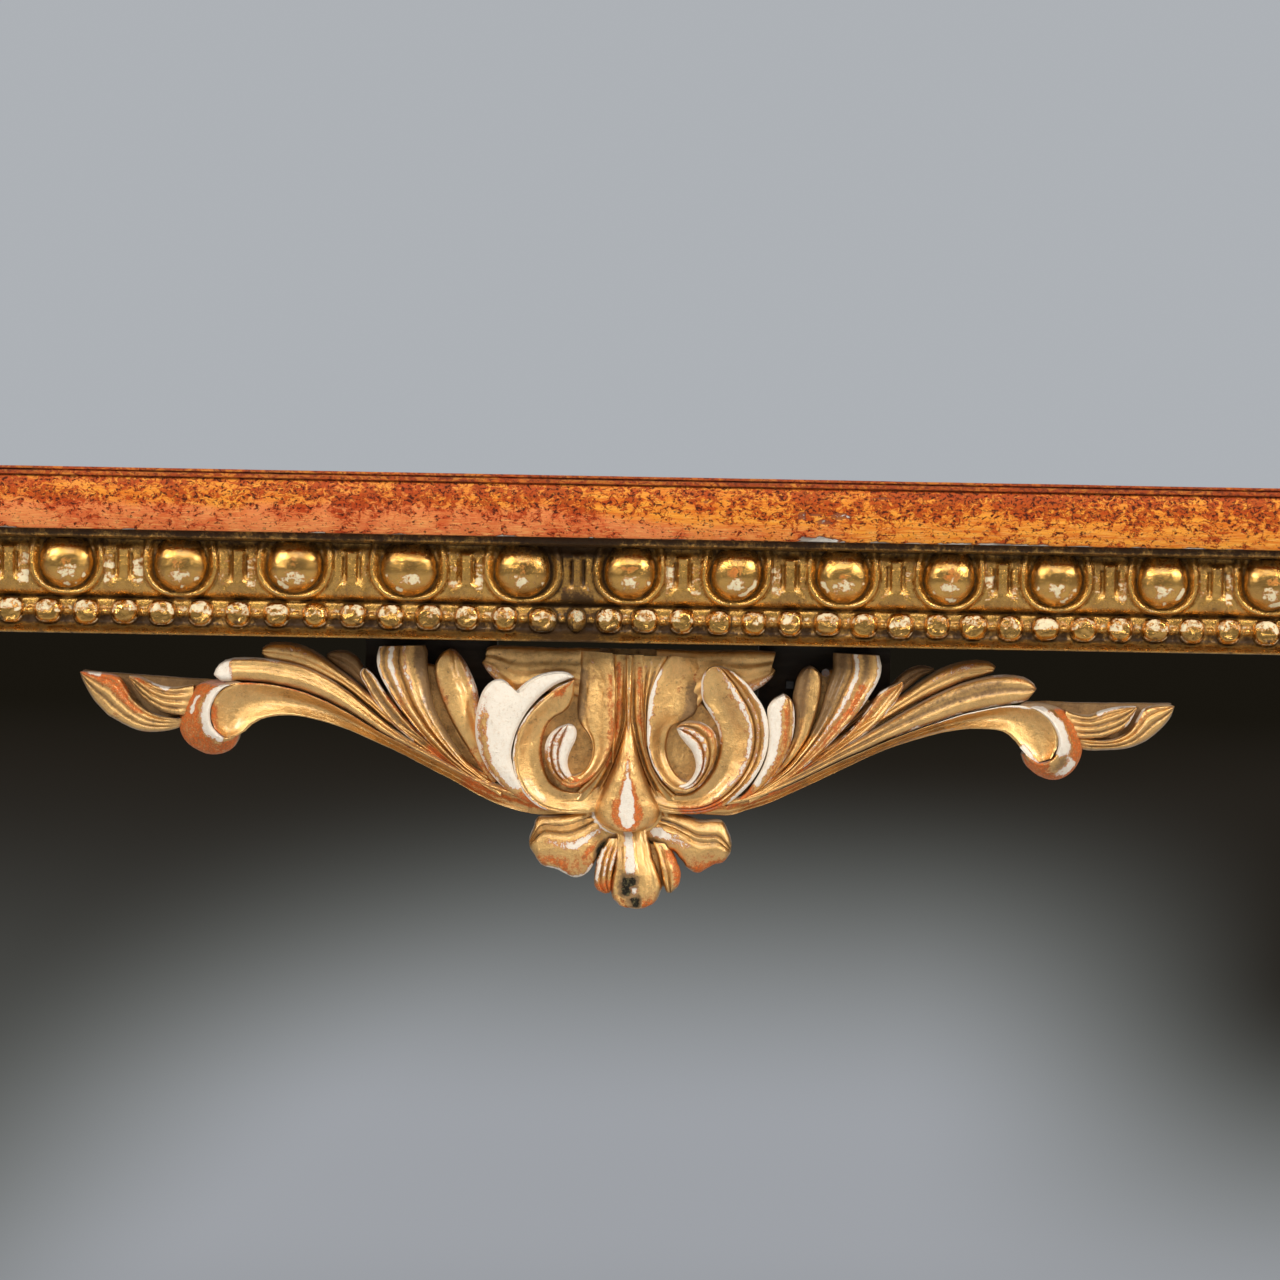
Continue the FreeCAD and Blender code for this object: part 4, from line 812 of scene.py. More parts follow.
def bead_band(x, z, ground, depth, beads, rag, seed):
    """The lower band: its depth, and what was flaked, soiled and polished there; the beads' pale
    tops are a painted highlight, and their dark lower halves and the dark below them painted shade.

    Each bead is a ball with a worn flat, and a thin string joins the beads. The larger depth
    counts."""
    bx, bead = nearest(x, beads)
    wide = 5.7 + 0.7 * (chance(bead, seed + 5.0) - 0.5)
    tall = 5.5 + 0.5 * (chance(bead, seed + 6.0) - 0.5)
    bz = z - BEAD_HEIGHT - 0.5 * (chance(bead, seed + 7.0) - 0.5)
    wobble = roughcast(x, z, 6.0, seed + 16.0) * 0.088
    outward = np.abs(bx / wide) ** 2.5 + np.abs(bz / tall) ** 2.5 + wobble
    ball = np.sqrt(unit(1.0 - outward))
    tilt = 0.20 * bx * (chance(bead, seed + 18.0) - 0.5)
    tilt = tilt + 0.10 * bz * (chance(bead, seed + 19.0) - 0.8)
    worn = 4.9 + 0.8 * chance(bead, seed + 15.0) + tilt + roughcast(x, z, 2.2, seed + 8.0) * 0.30
    knob = np.minimum(ball * 6.6, worn) + roughcast(x, z, 2.6, seed + 9.0) * 0.60 * ball
    depth = np.where(ball > 0, np.maximum(depth, ground - 0.4 + knob), depth)
    string = dome((z - BEAD_HEIGHT) / 1.7) * (1.2 + 0.9 * bell(np.abs(bx) - 8.0, 1.3))
    depth = np.where((z > 5) & (z < 13), np.maximum(depth, ground + string - 0.5), depth)
    # Pale upper halves of the beads: a painted highlight; the crescents below and the flecks
    # between the beads are flaked gilding
    flake_and_highlight = np.maximum.reduce([
        step(0.35, 0.6, ball) * step(-0.8, 0.8, bz + 1.5 * rag) * (0.50 + 0.35 * rag),
        bell(outward - 0.72, 0.12) * step(-1.5, -3.0, bz) * (0.75 + 0.5 * rag),
        step(5.2, 6.2, np.abs(bx)) * bell(z - 11.0, 1.8) * (0.42 + 0.4 * rag)])
    # Darker at the foot's arris, in the cove under the beads, between the beads low down and on
    # each bead's lower half: painted shade, with some dirt
    grime_and_shade = np.maximum.reduce([
        step(1.9, 1.0, z) * 0.5,
        step(5.4, 4.0, z) * step(0.9, 1.4, z) * 0.50,
        step(9.0, 7.0, z) * step(2.6, 4.0, z) * step(0.42, 0.25, ball) * 0.85,
        step(0.0, 0.3, ball) * step(-0.5, -3.5, bz) * (0.42 + 0.4 * rag)])
    return depth, flake_and_highlight, grime_and_shade, step(0.5, 0.9, ball) * 0.9


def egg_and_dart(x, z, eggs, beads, seed):
    """Depth of the carved face, and what was rubbed, flaked, soiled and polished there, with
    painted highlights and painted shade among them.

    Both bands stand on the traced face. Every motif has its own small errors, as cut by hand."""
    ground = np.interp(z, *np.array(FRIEZE_FACE).T)
    ground = ground + roughcast(x, z, 9.0, seed) * 0.18 * step(1.0, 3.0, z)
    rag = roughcast(x, z, 3.0, seed + 10.0)
    depth, rub, flake_and_highlight, grime_and_shade, polish = egg_band(x, z, ground, eggs, rag, seed)
    depth, low_flake_and_highlight, low_grime_and_shade, low_polish = bead_band(x, z, ground, depth, beads, rag, seed)
    flake_and_highlight = unit(np.maximum(flake_and_highlight, low_flake_and_highlight))
    grime_and_shade = np.maximum(grime_and_shade, low_grime_and_shade) * (0.85 + 0.35 * rag)
    return depth, rub, flake_and_highlight, grime_and_shade, polish + low_polish


def frieze_columns(start, end):
    """Places along a run: close together where the eye comes near, wider apart beyond."""
    grid = np.linspace(start, end, 4000)
    density = np.where(np.abs(grid) < NEAR, 1.0 / FINE_COLUMN, 1.0 / COARSE_COLUMN)
    steps = (density[1:] + density[:-1]) / 2 * np.diff(grid)
    count = np.concatenate([[0.0], np.cumsum(steps)])
    return np.interp(np.linspace(0.0, count[-1], int(count[-1])), count, grid)


def carved_length(name, node, lay, columns, mitres, eggs, beads, material, seed, damage=None):
    """One carved length: the egg and dart face over its run, closed on its other sides and ends.

    Damage is a place along the run and a reach, about which the moulding is bruised and soiled."""
    x, z = np.meshgrid(columns, FRIEZE_ROWS, indexing="ij")
    depth, rub, flake_and_highlight, grime_and_shade, polish = egg_and_dart(x, z, eggs, beads, seed)
    fine = roughcast(x, z, 1.7, seed + 20.0) * 0.07 + roughcast(x, z, 0.9, seed + 21.0) * 0.035
    depth = np.clip(depth + fine, 2.0, FRIEZE_DEEP - 0.05)
    spoiled = np.zeros(x.shape)
    if damage:
        spoiled = bell(x - damage[0], damage[1])
        bruise = roughcast(x, z, 5.0, seed + 30.0)
        depth = depth - spoiled * (0.5 + 0.9 * bruise) * step(18.0, 12.0, z)
    hollow, high = relief_wear(depth, 9, 1.3)
    deep_hollow, _ = relief_wear(depth, 60, 0.35)
    # The hollow number: dirt and painted shade in the low places, with the painted shadow under the
    # top and the darkening over the bruise
    sunk = unit(np.maximum(hollow * 0.42 + deep_hollow * 0.38, grime_and_shade) + spoiled * 0.45)
    wear = np.stack([sunk, unit((high + polish) * 0.6), flake_and_highlight, rub], axis=-1)
    behind = np.zeros((len(columns), 1))
    ring_depth = np.concatenate([depth, behind, behind], axis=1)
    ring_z = np.concatenate([z, behind + FRIEZE_TALL, behind], axis=1)
    ring_wear = np.concatenate([wear, wear[:, -1:], wear[:, :1]], axis=1)
    along = x[:, :1] + np.zeros(ring_depth.shape)
    for mitred, end, way in zip(mitres, (columns[0], columns[-1]), (1.0, -1.0)):
        pull = mitred * way * step(end + way * MITRE_REACH, end, along)
        along = along + pull * (FRIEZE_DEEP - ring_depth)
    surface = Surface()
    surface.tube(lay(along, ring_depth, ring_z + FRIEZE_FOOT), ring_wear,
                 np.stack([along, ring_z], axis=-1) * MM)
    surface.build(name, node, material, 62.0)


class OBJECT_OT_table_frieze(bpy.types.Operator):
    """Carve the egg and dart moulding along the front and both ends"""

    bl_idname = "object.table_frieze"
    bl_label = "Carved frieze"

    def execute(self, context):
        settings = context.scene.table_frieze
        # Near-black hollow colour: dirt and painted shade in the moulding's hollows and under the
        # top
        gold = gilding(
            "old_gold", (0.70, 0.375, 0.080), (0.20, 0.090, 0.018), (0.72, 0.21, 0.030),
            (0.86, 0.73, 0.45), (0.036, 0.015, 0.004), grime_and_shade=0.9, dusting=0.0, wear_share=0.10,
            matt=0.15)
        front = lay_on("front", FRAME_FRONT)
        corner = FRAME_HALF + FRIEZE_DEEP
        seam = -settings.seam_place / MM

        pitch = settings.egg_pitch_left / MM
        eggs = np.sort(seam - 21.7 - pitch * np.arange(-1, 13))
        beads = seam - pitch / 3 * (np.arange(-1, 41) + 0.81)
        beads = np.sort(beads + 1.1 * (chance(np.arange(42.0), 5.0) - 0.5))
        carved_length(
            "frieze_carved_left", "frieze_front_left", front, frieze_columns(-corner, seam),
            (True, False), eggs, beads, gold, 1.0, (seam - 4.0, 15.0))

        pitch = settings.egg_pitch_right / MM
        eggs = seam + 23.4 + pitch * np.arange(-1, 15)
        beads = seam + 1.028 * pitch / 3 * (np.arange(-1, 45) + 0.965)
        beads = np.sort(beads + 1.1 * (chance(np.arange(46.0), 6.0) - 0.5))
        carved_length(
            "frieze_carved_right", "frieze_front_right", front, frieze_columns(seam, corner),
            (False, True), eggs, beads, gold, 2.0, (seam + 3.0, 12.0))

        pitch = settings.egg_pitch_side / MM
        reach = FRAME_FRONT + FRIEZE_DEEP
        for side, way, seed in (("left", 1.0, 3.0), ("right", -1.0, 4.0)):
            ends = sorted((-way * FRAME_BACK, way * reach))
            eggs = np.sort(way * (-FRAME_BACK + 23.0 + pitch * np.arange(10)))
            beads = np.sort(way * (-FRAME_BACK + pitch / 3 * (np.arange(30) + 0.5)))
            carved_length(
                "frieze_carved_end_" + side, "frieze_" + side, lay_on(side, FRAME_HALF),
                np.linspace(*ends, 600), (way < 0, way > 0), eggs, beads, gold, seed)
        return {"FINISHED"}


# Pendant

# Back of the carved pendant: its depths are measured forward from here
PENDANT_BACK = 184.0

# The outline was measured in the plane of the frieze, nearer the eye than the pendant, so it is
# enlarged about the eye's height above the frieze's foot
PENDANT_GROWN = 1.0115
EYE_UP = 55.0

# Each lobe: two edges from root to tip, as places east and up from the frieze's foot in turn;
# depths along each edge; rise of the middle; grooves as (place across, half width, depth); and
# paint as (kind, across from, across to, along from, along to). Shares run from 0 to 1. Kinds:
# g gesso, b bole, s thin bole, t thin gesso, w worn edge, d dust, r light dust and painted shade
# on recessed grounds, k pitted stain.
LEFT_LOBES = (
    ("ground",
     (-14, -4, -30, -20, -47, -26, -60, -33, -70, -26, -79, -12, -88, -11, -104, -24, -112, -20,
      -130, -17, -150, -13, -165, -16),
     (-14, -71, -40, -68, -60, -63, -80, -53, -100, -44, -120, -35.5, -135, -31.5, -150, -31.5,
      -160, -33, -168, -38),
     (13, 12, 10), (13, 12, 10), 0, (),
     (("r", 0, 1, 0, 1),)),
    ("end_plate",
     (-162, -22, -172, -18.6, -186, -17.8, -200, -17, -215, -16.2, -229, -15.4),
     (-162, -34, -180, -32, -190, -35, -203, -36, -217, -30, -228.6, -17),
     (12, 14), (12, 15), 0, (),
     (("d", 0, 1, 0, 1),)),
    ("end_outer",
     (-184, -37, -190, -39.5, -196, -40.7, -203, -40.7, -210, -38.3, -217, -34.5, -222, -30, -226,
      -24.5, -228.6, -19.5, -229.7, -16.3),
     (-184, -35, -192, -34.6, -198, -33, -204, -29.5, -208, -25.5, -211, -20.5, -214, -17.2, -220,
      -16.2, -226, -15.8, -229.6, -16),
     (14, 15, 18), (17, 18, 20), 2.6, ((0.3, 0.07, 1.1), (0.55, 0.07, 1.1), (0.78, 0.06, 0.9)),
     (("b", 0.55, 1, 0.35, 1), ("b", 0.1, 0.2, 0, 0.8), ("g", 0.85, 1, 0.82, 0.95), ("d", 0.9, 1, 0,
      0.55))),
    ("end_inner",
     (-182, -34, -190, -33.2, -196, -31.6, -202, -27.5, -206, -23, -209, -18.5),
     (-182, -20.5, -190, -21.6, -196, -21, -201, -19, -205, -17.4, -208.6, -17.2),
     (18, 19, 21), (18, 19, 22), 3, ((0.24, 0.06, 1.2), (0.5, 0.07, 1.4), (0.76, 0.06, 1.1)),
     (("g", 0.88, 1, 0.35, 1), ("b", 0.6, 0.9, 0.55, 1), ("d", 0, 0.15, 0.3, 0.9))),
    ("rib",
     (-20, -71.5, -36, -72.4, -50, -69.5, -60, -65.5, -70, -60, -80, -55, -90, -50, -100, -45.3,
      -115, -39, -125, -35.5, -135, -33.2, -143, -32.6, -150, -33.5, -156, -36, -161, -40.5, -167,
      -42.6),
     (-20, -66, -38, -67, -50, -63.5, -60, -59.5, -70, -55, -80, -50, -90, -45.5, -105, -38, -115,
      -32, -125, -27, -135, -23, -145, -20.5, -155, -19.3, -163, -19.5, -169, -22, -173, -27, -174,
      -33, -172, -39, -168, -42),
     (17, 18, 19, 20, 22, 24), (20, 22, 23, 24, 25, 27), -3.2, ((0.5, 0.3, 1.2),),
     (("b", 0.35, 0.9, 0.02, 0.3), ("b", 0.93, 1, 0.4, 0.85), ("w", 0, 0.12, 0, 1), ("b", 0.8, 1,
      0.9, 1))),
    ("bulb",
     (-161, -19.4, -168, -21, -172, -25, -174.3, -31, -173.5, -37, -170, -41, -166, -41.8, -163.2,
      -40.6),
     (-166, -18, -176, -18.8, -182, -22, -186.3, -28, -188, -35, -187.3, -41, -183.5, -46, -177,
      -49.5, -171, -49.7, -166, -47.6, -163.8, -44.6, -162.8, -41.8),
     (24, 27, 28, 26, 22), (20, 15, 13, 13, 16), 3.6, (),
     (("g", 0, 0.4, 0.12, 0.86), ("b", 0.3, 1, 0.08, 1), ("g", 0.5, 0.66, 0.3, 0.45))),
    ("leaf_a",
     (-40, -66.5, -50, -63.5, -60, -60, -70, -55.5, -80, -50.5, -90, -45.5, -100, -40.5, -105,
      -37.5, -115, -31.5, -125, -26.5, -135, -22.6, -145, -20.2, -155, -19, -163, -18.6, -169,
      -19.4, -173, -16.6),
     (-40, -64.5, -50, -61, -60, -57.5, -70, -53, -80, -47.5, -90, -42, -100, -35.5, -108, -29,
      -115, -23.5, -122, -18.5, -130, -14, -140, -10.5, -150, -9, -160, -8.6, -167, -9.2, -171.4,
      -12, -173.2, -15.6),
     (22, 22, 21, 20, 22), (20, 20, 20, 21, 23), 4.6, ((0.66, 0.2, 1.3),),
     (("g", 0, 1, 0.935, 1), ("g", 0.93, 1, 0.8, 1), ("s", 0, 0.12, 0.4, 0.93), ("s", 0, 1, 0,
      0.3))),
    ("leaf_b",
     (-58, -58, -70, -52.5, -80, -47, -90, -41.5, -100, -35, -108, -28.5, -115, -23, -122, -18.6,
      -130, -15, -138, -12, -146, -10.4, -151, -9.2, -153.4, -7.4),
     (-58, -56, -70, -50, -80, -44, -90, -37.5, -100, -30, -107, -24, -114, -18, -121, -13, -126,
      -9.3, -132, -5.4, -138, -3, -144, -1.9, -149.5, -2.2, -152.8, -4.2),
     (20, 19, 18, 19), (19, 18, 18, 21), 4.6, ((0.36, 0.1, 0.8),),
     (("w", 0.9, 1, 0.6, 1), ("b", 0.92, 1, 0.6, 0.8), ("t", 0.5, 0.85, 0.8, 0.95))),
    ("leaf_c",
     (-78, -45, -90, -37, -100, -29.5, -107, -23.5, -114, -17.5, -121, -12.5, -126, -9, -126.6,
      -6.6),
     (-78, -43, -90, -34, -98, -27, -104, -21, -109, -15, -111.5, -11, -113.5, -8, -117, -5.6, -122,
      -5, -126, -6.3),
     (17, 15, 15), (17, 15, 16), 2.6, ((0.45, 0.08, 1),),
     (("d", 0, 1, 0.25, 1),)),
    ("leaf_d",
     (-60, -61.5, -72, -54, -82, -47.5, -92, -40.5, -100, -33.5, -105, -27, -109, -20.5, -112,
      -14.7, -110.8, -12.3),
     (-60, -59.5, -72, -51, -82, -43, -90, -36, -97, -28, -102, -21.5, -105, -17, -107, -14.4,
      -109.6, -12.4),
     (21, 22, 23), (21, 22, 23), 1.2, ((0.5, 0.2, 2),),
     (("g", 0, 0.13, 0.45, 1), ("g", 0.86, 1, 0.7, 1), ("d", 0.25, 0.75, 0.4, 1), ("b", 0, 1, 0,
      0.4), ("b", 0.8, 1, 0.4, 0.8))),
    ("leaf_e",
     (-52, -65, -66, -56.5, -74, -50.5, -82, -43.5, -90, -35, -97, -26, -102, -18, -104.6, -12,
      -105, -7, -104, -3),
     (-52, -61.5, -66, -51, -73, -42, -78, -34, -81.5, -26, -83, -18, -84, -10, -84, -5, -85, -2.4),
     (22, 23, 24, 25), (20, 20, 19, 18), 2.6, ((0.13, 0.06, 1.8), (0.42, 0.06, 2.4), (0.64, 0.04,
      0.7)),
     (("g", 0, 0.07, 0.45, 1), ("g", 0.22, 0.34, 0.2, 1), ("g", 0.5, 0.6, 0.2, 1), ("b", 0.06, 0.22,
      0.1, 0.75), ("b", 0.34, 0.38, 0.1, 0.8), ("d", 0.72, 1, 0.3, 1), ("d", 0.38, 0.46, 0.2, 1),
      ("b", 0.6, 0.66, 0.5, 1))),
    ("leaf_f",
     (-56, -60, -62, -52, -67, -44.5, -72, -36.8, -76.5, -28, -79.5, -20, -81, -13, -80.5, -9, -78,
      -5.2, -75, -3.6),
     (-53, -58, -55.4, -50, -58, -42, -60.2, -35, -61.6, -28, -63.2, -20, -66, -13, -69.8, -6.8,
      -72.6, -4.2, -74.8, -3.5),
     (19, 19, 20), (17, 16, 16), 3.4, ((0.7, 0.12, 1),),
     (("b", 0.02, 0.14, 0.5, 0.95), ("s", 0, 1, 0, 0.3), ("t", 0.78, 1, 0.3, 1))),
    ("palmette",
     (-12, -2.2, -30, -2.2, -42, -2, -50, -1.8, -57, -2, -59.6, -3.6, -58.6, -6),
     (-12, -26, -24, -22, -36, -22, -47, -25, -54, -18, -58.5, -13.4, -61.4, -9.4),
     (18, 17, 15), (18, 16, 14), 2.2, ((0.3, 0.08, 0.8), (0.55, 0.08, 0.8), (0.78, 0.07, 0.8)),
     (("r", 0, 1, 0.72, 1), ("t", 0.6, 1, 0.78, 0.98), ("s", 0.5, 0.9, 0.1, 0.3))),
    ("heart",
     (-36, -69.5, -45, -65.3, -52, -60.3, -58, -53.2, -61.7, -46, -63.4, -38, -63, -30, -62, -25,
      -60, -20, -57, -16.8, -53.5, -15.6, -50, -17.2, -47.2, -20.8, -44, -18, -40, -15, -36, -13.2,
      -30, -12, -25.5, -12.3, -22.4, -14.2),
     (-36, -68.2, -42.3, -62.2, -46.2, -55.5, -48, -48, -47, -40.4, -43.4, -31.7, -38, -24.4, -31,
      -18.2, -24, -14.8),
     (21, 23, 24, 25, 27), (22, 25, 26, 26, 27), 2.6, ((0.13, 0.022, 0.9),),
     (("g", 0, 1, 0.12, 1), ("b", 0.16, 0.3, 0.05, 0.5), ("b", 0, 1, 0, 0.14), ("d", 0.1, 0.15, 0.1,
      0.6))),
    ("well",
     (-12, -62, -22, -66, -32, -62, -38, -52, -38.6, -42, -35, -33, -28, -25, -22, -20),
     (-11, -58, -12, -52, -12, -46, -12, -40, -13, -34, -14, -28, -17, -22, -20, -19),
     (17, 17), (17, 17), 0, (),
     (("r", 0, 1, 0, 1),)),
    ("scroll",
     (-8, -69, -14, -71, -22, -71.6, -30, -71, -36, -69, -40.5, -65.5, -44.5, -60, -47, -53, -47.3,
      -46, -46, -39, -42.5, -31.5, -37, -25, -30, -19.2, -25, -16.6, -22.4, -15.4),
     (-8, -58, -13, -60.5, -18, -62, -23, -62.4, -28, -61, -32, -57.5, -34.7, -51, -35.4, -43,
      -33.6, -35.5, -30.5, -31.5, -26, -28.8, -23.3, -25, -22.2, -20, -22.3, -15.8),
     (20, 22, 25, 26, 27, 28), (18, 20, 22, 22, 24, 28), 0.6, ((0.55, 0.35, 1.8), (0.11, 0.03,
      0.5)),
     (("g", 0, 0.08, 0.25, 1), ("w", 0, 0.1, 0.1, 0.3), ("b", 0.1, 0.5, 0.86, 1), ("b", 0.9, 1, 0.4,
      0.75))),
    ("rim",
     (-20, -3.5, -19.8, -12, -20.2, -20, -20.8, -28, -19.5, -34, -16, -38.5, -14.5, -43, -14.8, -48,
      -16.5, -52, -19, -54.4, -22, -55.4, -25, -55),
     (-6.5, -4, -5.4, -14, -4.9, -24, -4.8, -34, -5.8, -42, -8, -48, -11, -53, -15, -57, -19.5,
      -59.8, -23, -60.7, -27, -59.3),
     (18, 19, 20, 21, 22), (25, 26, 26, 26, 26), 1, ((0.5, 0.25, 1.6), (0.2, 0.05, 0.8)),
     (("b", 0.78, 0.98, 0.12, 0.8), ("g", 0.3, 0.36, 0.02, 0.4), ("b", 0.36, 0.42, 0.1, 0.5), ("b",
      0.7, 1, 0.75, 1), ("w", 0.1, 0.3, 0.7, 1), ("d", 0, 0.25, 0.1, 0.5))),
    ("bowl",
     (-17, -57, -22, -55, -25, -50, -25, -44, -23, -38, -21, -34),
     (-15, -56, -13, -50, -12.5, -44, -14, -38, -17, -34),
     (18, 17, 17), (18, 17, 17), -3.5, (),
     (("d", 0, 0.6, 0.1, 0.5),)),
    ("curl",
     (-19, -60.4, -24, -60, -28.5, -57.8, -32, -53.5, -33.8, -48, -33.8, -42.5, -32, -38.4, -28.5,
      -35.4, -24.6, -34),
     (-19, -57, -22.5, -55.5, -24.2, -51.8, -24.2, -48, -22.8, -44, -21.2, -40.5, -20.9, -37, -22.3,
      -34.7, -24.2, -34),
     (23, 25, 26, 27), (24, 25, 26, 27), 2.6, ((0.24, 0.05, 1.8), (0.5, 0.05, 1.8)),
     (("g", 0, 1, 0.1, 1), ("b", 0, 0.1, 0, 0.6), ("b", 0, 1, 0, 0.16), ("d", 0.2, 0.28, 0.1, 0.9),
      ("d", 0.46, 0.54, 0.1, 0.9))),
)

